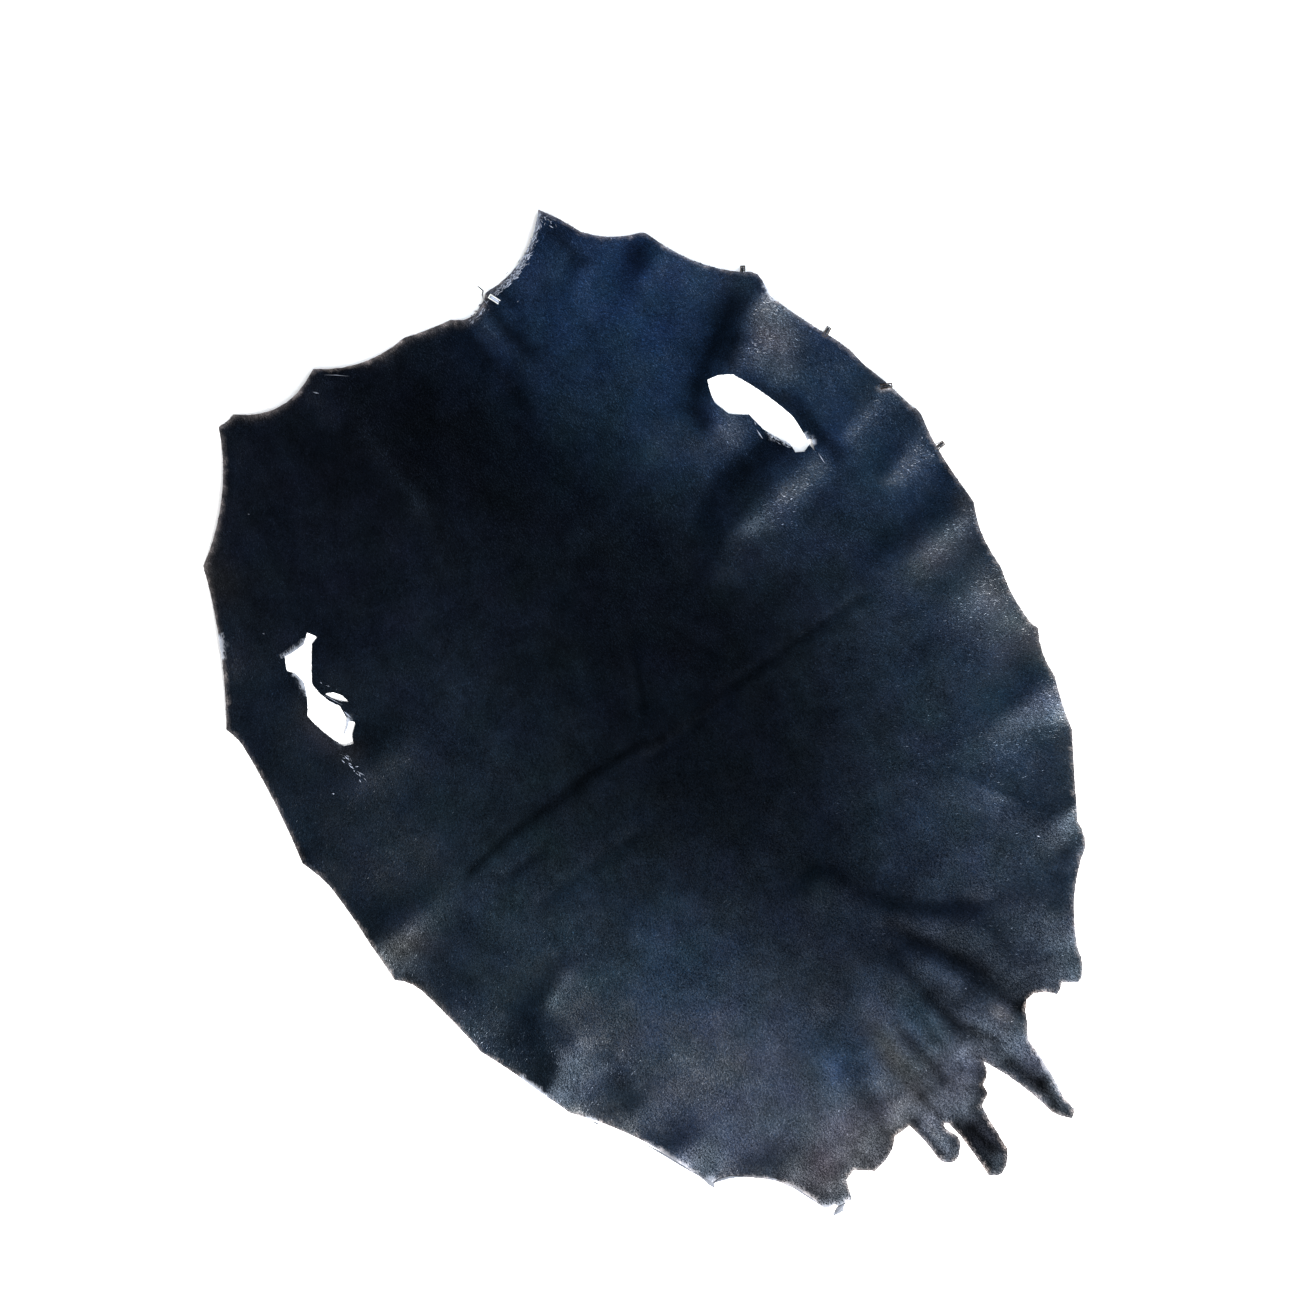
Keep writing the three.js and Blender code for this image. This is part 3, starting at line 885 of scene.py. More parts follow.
# Pale rim: partly lighter hair at the edge, partly the painted glow of the bright floor.
def rim_paling_share(points):
    distance, edge = nearest_edge(points)
    on_rim = edge < len(hide_loops[0])
    reach = np.full(len(points), RIM_REACH)
    for row in RIM_PALING:
        reach += (row["reach"] * MM - RIM_REACH) * patch_share(points, row)
    return on_rim * np.exp(-distance / reach + RIM_PATCHINESS * noise_field(points, RIM_WAVES, layer=2.7))


def coat_and_shading_at(points):
    depths = coat_depths_and_shading(points)
    hues = coat_and_sheen_hues(points)
    # The colour takes painted shade where the depths fall below one, and the painted rim glow.
    colours = hues * np.minimum(depths, 1)[:, None] + rim_paling_share(points)[:, None] * RIM_PALE
    hue_share = HUE_IN_SHINE / np.maximum(depths, 1) ** 2
    tints = 1 + hue_share[:, None] * (hues / hues.max(axis=1, keepdims=True) - 1)
    return colours, tints, depths


plan_coat_with_shading, plan_tint, plan_depth_and_shade = coat_and_shading_at(plan)
print("mean coat", plan_coat_with_shading.mean(axis=0).round(4))

# %% [markdown]
# ## Materials
# Two effects are shared, so each is a shader node group. Hair streaks are long thin noise along the lie of
# the hair, used by the locks and by the hide under them. Mottle is cloudy noise for bare leather, metal and
# lint. The shaders themselves stay in each material.

# %% Mottle
NOISE_LOW, NOISE_HIGH = 0.25, 0.75
MOTTLE_SCALE = (160, 160, 160)
FINE_SCALE = (1400, 1400, 1400)


def new_group(name, inputs, outputs):
    group = bpy.data.node_groups.new(name, "ShaderNodeTree")
    for socket, default in inputs:
        made = group.interface.new_socket(socket, in_out="INPUT", socket_type="NodeSocketFloat")
        made.default_value = default
    for socket in outputs:
        group.interface.new_socket(socket, in_out="OUTPUT", socket_type="NodeSocketFloat")
    start = group.nodes.new("NodeGroupInput")
    end = group.nodes.new("NodeGroupOutput")
    return group, start, end


def noise_node(tree, vector, detail, roughness):
    node = tree.nodes.new("ShaderNodeTexNoise")
    node.inputs["Scale"].default_value = 1.0
    node.inputs["Detail"].default_value = detail
    node.inputs["Roughness"].default_value = roughness
    tree.links.new(vector, node.inputs["Vector"])
    return node.outputs["Fac"]


def scaled_place(tree, scale):
    place = tree.nodes.new("ShaderNodeTexCoord")
    mapping = tree.nodes.new("ShaderNodeMapping")
    mapping.inputs["Scale"].default_value = scale
    tree.links.new(place.outputs["Object"], mapping.inputs["Vector"])
    return mapping.outputs["Vector"]


def spread_value(tree, value, low, high):
    node = tree.nodes.new("ShaderNodeMapRange")
    node.inputs["From Min"].default_value = NOISE_LOW
    node.inputs["From Max"].default_value = NOISE_HIGH
    tree.links.new(value, node.inputs["Value"])
    tree.links.new(low, node.inputs["To Min"])
    tree.links.new(high, node.inputs["To Max"])
    return node.outputs["Result"]


def build_mottle():
    group, start, end = new_group("mottle", [("Low", 0.8), ("High", 1.1)], ["Value", "Height"])
    cloud = noise_node(group, scaled_place(group, MOTTLE_SCALE), detail=6.0, roughness=0.65)
    fine = noise_node(group, scaled_place(group, FINE_SCALE), detail=2.0, roughness=0.5)
    value = spread_value(group, cloud, start.outputs["Low"], start.outputs["High"])
    group.links.new(value, end.inputs["Value"])
    group.links.new(fine, end.inputs["Height"])
    return group


MOTTLE = build_mottle()
print("group", MOTTLE.name)

# %% Hair streaks
CLOUD_SHARE = 0.25
STREAK_SCALE = (850, 700, 850)
CLOUD_SCALE = (26, 18, 26)


def build_hair_streaks():
    group, start, end = new_group("hair_streaks", [("Low", 0.6), ("High", 1.5)], ["Value", "Height"])
    streaks = noise_node(group, scaled_place(group, STREAK_SCALE), detail=2.0, roughness=0.5)
    cloud = noise_node(group, scaled_place(group, CLOUD_SCALE), detail=2.0, roughness=0.5)
    joined = group.nodes.new("ShaderNodeMath")
    joined.operation = "MULTIPLY_ADD"
    joined.inputs[1].default_value = CLOUD_SHARE
    group.links.new(cloud, joined.inputs[0])
    rest = group.nodes.new("ShaderNodeMath")
    rest.operation = "MULTIPLY"
    rest.inputs[1].default_value = 1 - CLOUD_SHARE
    group.links.new(streaks, rest.inputs[0])
    group.links.new(rest.outputs[0], joined.inputs[2])
    value = spread_value(group, joined.outputs[0], start.outputs["Low"], start.outputs["High"])
    group.links.new(value, end.inputs["Value"])
    group.links.new(streaks, end.inputs["Height"])
    return group


HAIR_STREAKS = build_hair_streaks()
print("group", HAIR_STREAKS.name)


# %% Floor material, and helpers for the rest
def new_material(name):
    material = bpy.data.materials.new(name)
    material.use_nodes = True
    tree = material.node_tree
    return material, tree, tree.nodes["Principled BSDF"]


def floor_material():
    material, _, shader = new_material("pale_floor")
    shader.inputs["Base Color"].default_value = (0.9, 0.9, 0.9, 1)
    shader.inputs["Roughness"].default_value = 0.9
    return material


def place_group(tree, group, low, high):
    node = tree.nodes.new("ShaderNodeGroup")
    node.node_tree = group
    node.inputs["Low"].default_value = low
    node.inputs["High"].default_value = high
    return node


def times(tree, colour, value):
    node = tree.nodes.new("ShaderNodeMix")
    node.data_type = "RGBA"
    node.blend_type = "MULTIPLY"
    node.inputs["Factor"].default_value = 1.0
    if isinstance(colour, tuple):
        node.inputs["A"].default_value = colour
    else:
        tree.links.new(colour, node.inputs["A"])
    tree.links.new(value, node.inputs["B"])
    return node.outputs["Result"]


def attribute(tree, name, output):
    node = tree.nodes.new("ShaderNodeAttribute")
    node.attribute_name = name
    return node.outputs[output]


def add_bump(tree, shader, height, strength, depth):
    node = tree.nodes.new("ShaderNodeBump")
    node.inputs["Strength"].default_value = strength
    node.inputs["Distance"].default_value = depth
    tree.links.new(height, node.inputs["Height"])
    tree.links.new(node.outputs["Normal"], shader.inputs["Normal"])


floor_mesh.materials.append(floor_material())
print("material", floor_mesh.materials[0].name)

# %% Hair, flesh and hide
FLESH = (0.27, 0.29, 0.33, 1)


def add_sheen(tree, shader, grain):
    uneven = tree.nodes.new("ShaderNodeMath")
    uneven.operation = "MULTIPLY"
    tree.links.new(attribute(tree, "shine", "Fac"), uneven.inputs[0])
    tree.links.new(grain, uneven.inputs[1])
    tree.links.new(uneven.outputs[0], shader.inputs["Specular IOR Level"])
    tree.links.new(attribute(tree, "tint", "Color"), shader.inputs["Specular Tint"])


def hair_material():
    material, tree, shader = new_material("seal_hair")
    streaks = place_group(tree, HAIR_STREAKS, low=0.0, high=2.0)
    colour = times(tree, attribute(tree, "coat", "Color"), streaks.outputs["Value"])
    tree.links.new(colour, shader.inputs["Base Color"])
    gloss = place_group(tree, MOTTLE, low=0.31, high=0.40)
    tree.links.new(gloss.outputs["Value"], shader.inputs["Roughness"])
    add_sheen(tree, shader, streaks.outputs["Value"])
    return material


def flesh_nodes(tree):
    mottle = place_group(tree, MOTTLE, low=0.8, high=1.1)
    return times(tree, FLESH, mottle.outputs["Value"]), mottle.outputs["Height"]


def flesh_material():
    material, tree, shader = new_material("flesh_side")
    colour, height = flesh_nodes(tree)
    tree.links.new(colour, shader.inputs["Base Color"])
    add_bump(tree, shader, height, strength=0.5, depth=0.3 * MM)
    shader.inputs["Roughness"].default_value = 0.8
    return material


def hair_side_material():
    material, tree, shader = new_material("hair_side")
    streaks = place_group(tree, HAIR_STREAKS, low=0.2, high=1.3)
    dark = times(tree, attribute(tree, "coat", "Color"), streaks.outputs["Value"])
    pale, _ = flesh_nodes(tree)
    mixed = tree.nodes.new("ShaderNodeMix")
    mixed.data_type = "RGBA"
    tree.links.new(attribute(tree, "bare", "Fac"), mixed.inputs["Factor"])
    tree.links.new(dark, mixed.inputs["A"])
    tree.links.new(pale, mixed.inputs["B"])
    tree.links.new(mixed.outputs["Result"], shader.inputs["Base Color"])
    add_bump(tree, shader, streaks.outputs["Height"], strength=0.6, depth=0.4 * MM)
    add_sheen(tree, shader, streaks.outputs["Value"])
    shader.inputs["Roughness"].default_value = 0.42
    return material


HAIR = hair_material()
FLESH_SIDE = flesh_material()
HAIR_SIDE = hair_side_material()
print("materials", HAIR.name, FLESH_SIDE.name, HAIR_SIDE.name)

# %% Wire and fibre
ZINC = (0.72, 0.73, 0.72, 1)
DARK_STEEL = (0.060, 0.050, 0.045, 1)


def wire_material(name, colour, bareness, dullness):
    material, tree, shader = new_material(name)
    mottle = place_group(tree, MOTTLE, low=0.75, high=1.1)
    tree.links.new(times(tree, colour, mottle.outputs["Value"]), shader.inputs["Base Color"])
    gloss = place_group(tree, MOTTLE, low=dullness, high=dullness + 0.2)
    tree.links.new(gloss.outputs["Value"], shader.inputs["Roughness"])
    shader.inputs["Metallic"].default_value = bareness
    return material


def fibre_material():
    material, tree, shader = new_material("pale_fibre")
    mottle = place_group(tree, MOTTLE, low=0.7, high=1.2)
    shade = attribute(tree, "coat", "Color")
    tree.links.new(times(tree, shade, mottle.outputs["Value"]), shader.inputs["Base Color"])
    add_bump(tree, shader, mottle.outputs["Height"], strength=0.4, depth=0.2 * MM)
    shader.inputs["Roughness"].default_value = 0.7
    return material


WIRE = wire_material("staple_wire", DARK_STEEL, bareness=0.2, dullness=0.6)
DULL_WIRE = wire_material("dull_wire", ZINC, bareness=0.35, dullness=0.25)
FIBRE = fibre_material()
print("materials", WIRE.name, DULL_WIRE.name, FIBRE.name)

# %% [markdown]
# ## Building the hide's mesh
# The plan's triangles are used twice, once for the flesh side and once for the hair side above it, and a
# strip of quads along every edge closes the sheet. The cut edge stays sharp, so that the shading of the
# hair side runs flat up to it. The hair side carries the coat's colour, painted shade and sheen included,
# and the bare places as point attributes, which its material reads.


# %% Edges and attributes
def set_attribute(mesh, name, kind, values):
    layer = mesh.attributes.new(name, kind, "POINT")
    key = "color" if kind == "FLOAT_COLOR" else "value"
    layer.data.foreach_set(key, np.asarray(values, np.float32).ravel())


def with_alpha(colours):
    return np.concatenate([colours, np.ones((len(colours), 1))], axis=1)


def open_edges(faces):
    pairs = np.concatenate([faces[:, [0, 1]], faces[:, [1, 2]], faces[:, [2, 0]]])
    keys = set(map(tuple, pairs))
    return [(a, b) for a, b in keys if (b, a) not in keys]


rim_links = open_edges(triangles)
print("edges of the sheet", len(rim_links))

# %% Hide mesh
LEATHER = 1.3 * MM
RIM_LEATHER = 0.9 * MM
SKIVED_WIDTH = 9 * MM
HIDE_SHINE = 0.4
RIM_ANGLE = math.radians(50)


def build_hide():
    count = len(plan)
    thickness = RIM_LEATHER + (LEATHER - RIM_LEATHER) * np.clip(plan_distance / SKIVED_WIDTH, 0, 1)
    flesh = np.column_stack([plan, relief])
    hair_side = np.column_stack([plan, relief + thickness])
    rim = [(a, a + count, b + count, b) for a, b in rim_links]
    faces = [*(triangles + count).tolist(), *triangles[:, ::-1].tolist(), *[quad[::-1] for quad in rim]]
    mesh = bpy.data.meshes.new("hide")
    mesh.from_pydata(np.concatenate([flesh, hair_side]).tolist(), [], faces)
    mesh.materials.append(HAIR_SIDE)
    mesh.materials.append(FLESH_SIDE)
    is_flesh = np.ones(len(faces), np.int32)
    is_flesh[: len(triangles)] = 0
    mesh.polygons.foreach_set("material_index", is_flesh)
    mesh.polygons.foreach_set("use_smooth", np.ones(len(faces), bool))
    # The coat colour here carries painted shade and sheen and the painted rim glow.
    set_attribute(mesh, "coat", "FLOAT_COLOR", np.tile(with_alpha(plan_coat_with_shading), (2, 1)))
    set_attribute(mesh, "tint", "FLOAT_COLOR", np.tile(with_alpha(plan_tint), (2, 1)))
    set_attribute(mesh, "bare", "FLOAT", np.tile(plan_bare, 2))
    set_attribute(mesh, "shine", "FLOAT", np.tile(HIDE_SHINE * plan_depth_and_shade, 2))
    mesh.validate()
    mesh.set_sharp_from_angle(angle=RIM_ANGLE)
    hide = bpy.data.objects.new("hide", mesh)
    scene.collection.objects.link(hide)
    return hide, hair_side


hide, hair_side_points = build_hide()
hair_side_tree = BVHTree.FromPolygons(hair_side_points.tolist(), triangles.tolist())


def skin_below(x, y):
    return hair_side_tree.ray_cast(Vector((x, y, 1.0)), Vector((0, 0, -1)))


print("hide faces", len(hide.data.polygons))

# %% [markdown]
# ## The hair
# Seal hair is short, stiff and flat. It lies from head to tail and a little outwards, and at this size a
# lock of it is about a millimetre wide. Each lock is a slim closed spike, nearly flat, whose tip stands a
# little off the skin, so the coat looks combed. All of them are made at once as arrays, from seeded random
# numbers, and joined into a few meshes. Locks are shortened where they would hang over the rim or over a
# bare place.

# %% Roots and lie of the hair
ROOT_SPACING = 1.95 * MM
ROOT_JITTER = 0.45
ROOT_CLEARANCE = 0.4 * MM
OUTWARD_LIE = 0.42
FLANK_REACH = 0.36
TAIL_START = on_skin(0, 1000)[1]
TAIL_RUN = 0.2
LIE_WANDER = 0.22
WANDER_WAVES = 11
LIE_JITTER = 0.28


def lie_angles(points):
    spine_x = on_skin(0, 0)[0]
    share = np.clip((points[:, 0] - spine_x) / FLANK_REACH, -1, 1)
    tail = np.clip((points[:, 1] - TAIL_START) / TAIL_RUN, 0, 1)
    wander = LIE_WANDER * noise_field(points, WANDER_WAVES, layer=20.9)
    return OUTWARD_LIE * share * tail + wander + rng.normal(0, LIE_JITTER, len(points))


def hair_roots():
    points = jittered_field(ROOT_SPACING, ROOT_JITTER)
    hits = [skin_below(x, y) for x, y in points]
    on_hide = np.array([hit[0] is not None for hit in hits])
    places = np.array([hit[0] for hit in hits if hit[0] is not None])
    normals = np.array([hit[1] for hit in hits if hit[0] is not None])
    distance, margin = edge_margin(points[on_hide])
    grows = (distance > margin + ROOT_CLEARANCE) & (scrap_share(points[on_hide]) < 0.5)
    return places[grows], normals[grows]


roots, root_normals = hair_roots()
print("locks", len(roots))

# %% Locks
OVERHANG = 0.6 * MM
LOCK_LENGTH = 3.4 * MM
LOCK_WIDTH = 1.4 * MM
LOCK_BACK = 0.03 * MM
TIP_HEIGHT = 0.4 * MM
LOCK_ROLL = 0.02
SHORTENING_ROUNDS = 3
SHORTER = 0.62
BARE_MARGIN = 0.3 * MM
OVERHANG_SPREAD = (0.2, 1.5)
SIZE_SPREAD = (0.7, 1.25)
BACK_SPREAD = (0.5, 1.6)
TIP_SPREAD = (0.85, 1.15)
BACK_PLACE = 0.25
ROOT_SINK = 0.15 * MM


def shortened(lengths, lie):
    for _ in range(SHORTENING_ROUNDS):
        tips = roots[:, :2] + lie[:, :2] * lengths[:, None]
        distance, margin = edge_margin(tips)
        inside = np.array([skin_below(x, y)[0] is not None for x, y in tips])
        signed = np.where(inside, distance, -distance)
        overhang = OVERHANG * rng.uniform(*OVERHANG_SPREAD, len(tips))
        wanted = np.where(margin > BARE_MARGIN, margin, -overhang)
        lengths = np.where(signed < wanted, lengths * SHORTER, lengths)
    return lengths


def lock_arrays():
    angle = lie_angles(roots[:, :2])
    lie = np.stack([np.sin(angle), -np.cos(angle), np.zeros(len(angle))], axis=1)
    lie -= root_normals * (lie * root_normals).sum(axis=1, keepdims=True)
    lie /= np.linalg.norm(lie, axis=1, keepdims=True)
    roll = rng.normal(0, LOCK_ROLL, (len(roots), 1))
    side = np.cross(root_normals, lie) * np.cos(roll) + root_normals * np.sin(roll)
    lengths = shortened(LOCK_LENGTH * rng.uniform(*SIZE_SPREAD, len(roots)), lie)[:, None]
    widths = LOCK_WIDTH * rng.uniform(*SIZE_SPREAD, (len(roots), 1))
    backs = LOCK_BACK * rng.uniform(*BACK_SPREAD, (len(roots), 1))
    tips = TIP_HEIGHT * rng.uniform(*TIP_SPREAD, (len(roots), 1)) * lengths / LOCK_LENGTH
    sunk = roots - root_normals * ROOT_SINK
    corners = [
        sunk - side * widths / 2,
        sunk + side * widths / 2,
        roots + lie * lengths * BACK_PLACE + root_normals * (backs + BACK_PLACE * tips),
        roots + lie * lengths + root_normals * tips,
    ]
    return np.stack(corners, axis=1)


LOCK_FACES = np.array([(0, 3, 2), (1, 2, 3), (0, 2, 1), (0, 1, 3)])
TONE_SPREAD = 0.25
LOCK_SHINE = 0.52
SHINE_SPREAD = 0.22
CORNER_SHINE = np.array([0.5, 0.5, 1.0, 1.2])
lock_corners = lock_arrays()
lock_tones = np.exp(rng.normal(0, TONE_SPREAD, (len(roots), 1)))
lock_colours_with_shading, lock_tints, lock_depths_and_shade = coat_and_shading_at(roots[:, :2])
lock_colours_with_shading = lock_colours_with_shading * lock_tones
# Shine grows with the depths, so it carries painted sheen where they are above one.
lock_shine = LOCK_SHINE * lock_depths_and_shade * np.exp(rng.normal(0, SHINE_SPREAD, len(roots)))
print("lock corners", lock_corners.shape)

# %% [markdown]
# A mesh of spikes has no useful automatic map for baking its colour, so each gets a flat one, seen from
# above. The hair is parted into six meshes by place, to keep each of them light.

# %% Hair meshes
BAKE_MAP = "OFBake"
HEAD_PART = on_skin(0, 235)[1]
MIDDLE_PART = on_skin(0, 515)[1]
TAIL_PART = on_skin(0, 795)[1]
SPINE_PART = on_skin(10, 0)[0]


def build_hair(name, chosen):
    corners = lock_corners[chosen]
    count = len(corners)
    faces = (LOCK_FACES[None] + 4 * np.arange(count)[:, None, None]).reshape(-1, 3)
    mesh = bpy.data.meshes.new(name)
    mesh.from_pydata(corners.reshape(-1, 3).tolist(), [], faces.tolist())
    mesh.materials.append(HAIR)
    # Each lock's coat colour carries painted shade and sheen.
    set_attribute(mesh, "coat", "FLOAT_COLOR", np.repeat(with_alpha(lock_colours_with_shading[chosen]), 4, axis=0))
    set_attribute(mesh, "tint", "FLOAT_COLOR", np.repeat(with_alpha(lock_tints[chosen]), 4, axis=0))
    set_attribute(mesh, "shine", "FLOAT", lock_shine[chosen][:, None] * CORNER_SHINE)
    flat = corners.reshape(-1, 3)[faces.ravel(), :2] - (cad_low.x, cad_low.y)
    flat = np.clip(flat / (cad_high.y - cad_low.y), 0, 1).astype(np.float32)
    mesh.uv_layers.new(name=BAKE_MAP).data.foreach_set("uv", flat.ravel())
    hair = bpy.data.objects.new(name, mesh)
    scene.collection.objects.link(hair)
    print(name, count, "locks", len(faces), "triangles")
    return hair


is_head = roots[:, 1] > HEAD_PART
is_tail = roots[:, 1] < TAIL_PART
is_front = (roots[:, 1] > MIDDLE_PART) & ~is_head
is_back = (roots[:, 1] <= MIDDLE_PART) & ~is_tail
is_right = roots[:, 0] > SPINE_PART
hair_meshes = [
    build_hair("hair_head", is_head),
    build_hair("hair_front_left", is_front & ~is_right),
    build_hair("hair_front_right", is_front & is_right),
    build_hair("hair_back_left", is_back & ~is_right),
    build_hair("hair_back_right", is_back & is_right),
    build_hair("hair_tail", is_tail),
]

# %% [markdown]
# ## Flecks, lint and a loose thread
# Small things lie on the hair: flecks where the skin was scratched, a few specks, dark tufts between the
# legs of the staples in the rim, pale fluff in the lying one, a dark thread at the neck and a dark whisker
# at the right hem. Each is a slim closed strand of four sides, pointed at both ends, and all of them are
# one mesh. A row gives the thickness, the shade from dark to pale and the way. Lint is scattered by count
# along the ragged neck edge. Slivers are flat strands, where the pale flesh side peeps out under the left
# hem.

# %% Strands, lint and slivers
STRANDS = table(
    "thick shade way",
    (1.3, 0.12, [(104, 60), (107, 53), (110, 50.5), (109, 46), (107, 39.5)]),
    (3.6, 1.25, [(111.9, 59.5), (112.6, 61.5), (115.2, 68.5), (116.0, 71)]),
    (2.6, 0.12, [(339.5, 199), (341, 196.5), (343, 193.5), (344.3, 191.7)]),
    (2.6, 0.12, [(371, 301.5), (374, 300), (377.5, 298.4), (380, 297.3)]),
    (2.6, 0.08, [(386, 381), (389, 382.5), (393, 384.6), (395.3, 385.8)]),
    (2.6, 0.12, [(395, 467), (398, 466.7), (401.5, 466.4), (403.8, 466.2)]),
    (0.5, 0.05, [(271, 895), (271.2, 902), (271.8, 909)]),
    (1.0, 0.50, [(-272, 278.5), (-271, 282)]),
    (1.2, 0.40, [(-269, 285.5), (-266, 289)]),
    (0.8, 0.60, [(-277.5, 291), (-272, 302), (-267, 313)]),
    (0.8, 0.50, [(-279, 295), (-274, 304), (-270.5, 313)]),
    (1.6, 0.70, [(-270, 318), (-268, 329)]),
    (1.4, 0.80, [(-297, 356), (-296, 363)]),
    (1.4, 0.80, [(-299, 366), (-297, 374)]),
    (1.0, 0.60, [(-296, 377), (-292, 386)]),
    (1.6, 0.80, [(-331.3, 380.5), (-329, 382.5)]),
    (1.2, 0.60, [(257.5, 329.5), (256, 335)]),
    (1.6, 0.70, [(254, 338), (253.4, 351)]),
    (0.9, 0.50, [(263, 361), (265, 367)]),
    (0.9, 0.50, [(268, 370.5), (270, 374.5)]),
    (1.1, 0.60, [(291, 396), (290, 411)]),
    (1.0, 0.35, [(-78, 22), (-66, 31), (-56, 40)]),
    (2.0, 0.40, [(-97, 30), (-92, 36)]),
    (0.9, 0.40, [(-228, 92), (-226.4, 94)]),
    (0.9, 0.50, [(-290, 202), (-288.5, 204)]),
    (1.6, 0.60, [(236.5, 855.5), (239, 858.5)]),
    (0.9, 0.50, [(131.5, 82), (133.5, 81)]),
)
LINT = table(
    "count spread way",
    (260, 2.0, [(116, 60), (140, 59), (160, 53), (180, 43), (201, 28)]),
    (40, 2.4, [(80, 70), (105, 62)]),
    (20, 2.5, [(205, 23), (212, 40)]),
    (16, 2.4, [(-297, 356), (-295, 388)]),
)
# The slivers along the tail hem have a darker shade than the one at the neck: painted shade that offsets
# the strong light from beyond the tail.
SLIVERS = table(
    "thick shade way",
    (4.0, 0.45, [(92, 66), (98, 63.5), (104, 60)]),
    (2.0, 0.19, [(-317, 820), (-312, 828)]),
    (2.2, 0.19, [(-290, 864), (-279, 888), (-269.5, 911), (-261, 929), (-257, 941)]),
    (4.5, 0.19, [(-259, 935), (-256, 945), (-254.5, 953)]),
    (3.0, 0.19, [(-254, 947), (-246, 948.5), (-235, 952.5), (-220, 962)]),
    (2.0, 0.19, [(-220, 962), (-199, 980.5), (-188, 1001), (-179, 1024.5), (-173.5, 1042)]),
    (6.5, 0.19, [(-172.5, 1050.5), (-163, 1048.5), (-153.5, 1046.5)]),
)
print("strands", len(STRANDS), "slivers", len(SLIVERS))

# %% Lint
FLECK_HALF = (1.0, 3.2)
FLECK_THICK = (0.5, 1.5)
FLECK_SHADE = (0.15, 0.8)
FLECK_TURN = 0.5


def lint_rows(row):
    way = np.array(row["way"], float)
    ends = np.sort(rng.uniform(0, len(way) - 1, row["count"]))
    rows = []
    for end in ends:
        leg = min(int(end), len(way) - 2)
        middle = way[leg] + (end - leg) * (way[leg + 1] - way[leg]) + rng.normal(0, row["spread"], 2)
        run = way[leg + 1] - way[leg]
        heading = math.atan2(run[1], run[0]) + rng.normal(0, FLECK_TURN)
        half = rng.uniform(*FLECK_HALF) * np.array([math.cos(heading), math.sin(heading)])
        fleck = (rng.uniform(*FLECK_THICK), rng.uniform(*FLECK_SHADE), [middle - half, middle + half])
        rows.append(fleck)
    return table("thick shade way", *rows)


flecks = [fleck for row in LINT for fleck in lint_rows(row)]
print("flecks of lint", len(flecks))

# %% Strand mesh
LYING_HEIGHT = 0.7 * MM
SLIVER_FLATNESS = 0.2
PALE_FIBRE = np.array([0.38, 0.42, 0.51])


def strand_line(way, half):
    places = [on_skin(*place) for place in way]
    if len(places) == 2:
        places.insert(1, (places[0] + places[1]) / 2)
    hits = [skin_below(x, y)[0] for x, y in places]
    heights = [max(LYING_HEIGHT, half) if hit is None else hit.z + LYING_HEIGHT for hit in hits]
    return np.column_stack([places, heights])


def strand(way, thick, flatness):
    line = strand_line(way, thick * flatness * MM / 2)
    verts = [line[0]]
    for before, here, after in zip(line, line[1:], line[2:]):
        run = (after - before) / np.linalg.norm(after - before)
        side = np.array([-run[1], run[0], 0.0])
        up = np.cross(run, side) * flatness
        verts += [here + thick * MM / 2 * offset for offset in (side, up, -side, -up)]
    verts.append(line[-1])
    rings = len(line) - 2
    last = 4 * rings + 1
    faces = []
    for k in range(4):
        a, b = 1 + k, 1 + (k + 1) % 4
        faces.append((0, b, a))
        for ring in range(rings - 1):
            faces.append((a + 4 * ring, b + 4 * ring, b + 4 * ring + 4, a + 4 * ring + 4))
        faces.append((last, a + 4 * (rings - 1), b + 4 * (rings - 1)))
    return verts, faces


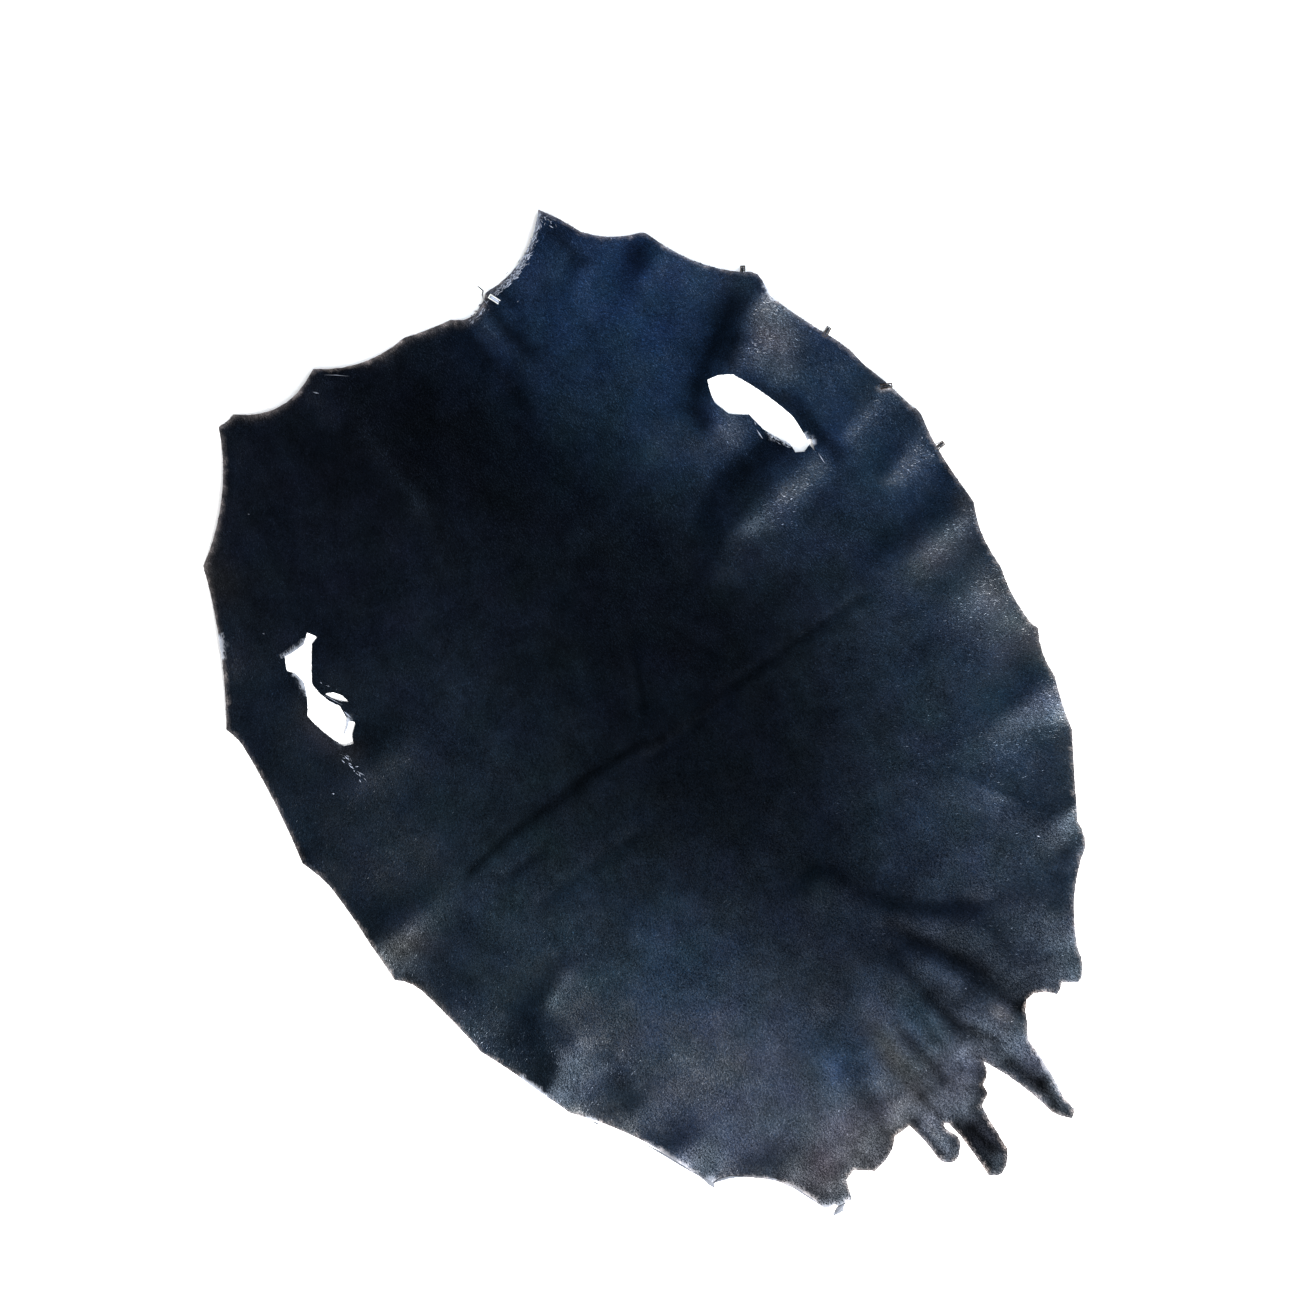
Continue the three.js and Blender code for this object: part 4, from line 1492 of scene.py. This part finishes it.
def build_strands():
    verts, faces, shades = [], [], []
    round_rows = STRANDS + flecks
    for number, row in enumerate(round_rows + SLIVERS):
        flatness = 1.0 if number < len(round_rows) else SLIVER_FLATNESS
        more, links = strand(row["way"], row["thick"], flatness)
        faces += [tuple(v + len(verts) for v in link) for link in links]
        verts += more
        shades += [row["shade"] * PALE_FIBRE] * len(more)
    mesh = bpy.data.meshes.new("strands")
    mesh.from_pydata(np.array(verts).tolist(), [], faces)
    mesh.materials.append(FIBRE)
    set_attribute(mesh, "coat", "FLOAT_COLOR", with_alpha(np.array(shades)))
    made = bpy.data.objects.new("strands", mesh)
    scene.collection.objects.link(made)
    return made


strands = build_strands()
print("strand faces", len(strands.data.polygons))

# %% [markdown]
# ## Staples
# The staples are right as they are in the solid model, but real wire has rounded edges. Each is copied with
# a small bevel and stands for its node. Those in the rim have darkened to a brownish steel. The one that
# lies on the hair still has its zinc, dulled to a pale grey.

# %% Rounded staples
WIRE_ROUNDING = 0.25 * MM
FLAT_ANGLE = 0.02
LYING_STAPLE = "staple_5"


def round_staple(name):
    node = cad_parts[name]
    mesh = node.data.copy()
    mesh.materials.clear()
    mesh.materials.append(DULL_WIRE if name == LYING_STAPLE else WIRE)
    work = bmesh.new()
    work.from_mesh(mesh)
    bmesh.ops.remove_doubles(work, verts=work.verts, dist=JOIN_DISTANCE)
    bmesh.ops.dissolve_limit(work, angle_limit=FLAT_ANGLE, verts=work.verts, edges=work.edges)
    bmesh.ops.bevel(work, geom=work.edges[:], offset=WIRE_ROUNDING, segments=2, affect="EDGES")
    work.to_mesh(mesh)
    work.free()
    staple = bpy.data.objects.new("wire_" + name, mesh)
    scene.collection.objects.link(staple)
    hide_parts(name)
    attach(staple, "root")
    return staple


staples = [round_staple(name) for name in sorted(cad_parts) if name.startswith("staple_")]
print("staples", [s.name for s in staples])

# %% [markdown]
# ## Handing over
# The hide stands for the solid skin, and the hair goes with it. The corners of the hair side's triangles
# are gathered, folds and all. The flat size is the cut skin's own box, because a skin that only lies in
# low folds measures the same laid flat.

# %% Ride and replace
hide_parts("pelt")
skin_pieces = [*hair_meshes, strands]
for piece in [hide, *skin_pieces]:
    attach(piece, "root")
corner_a, corner_b, corner_c = (hair_side_points[triangles[:, k]] for k in range(3))
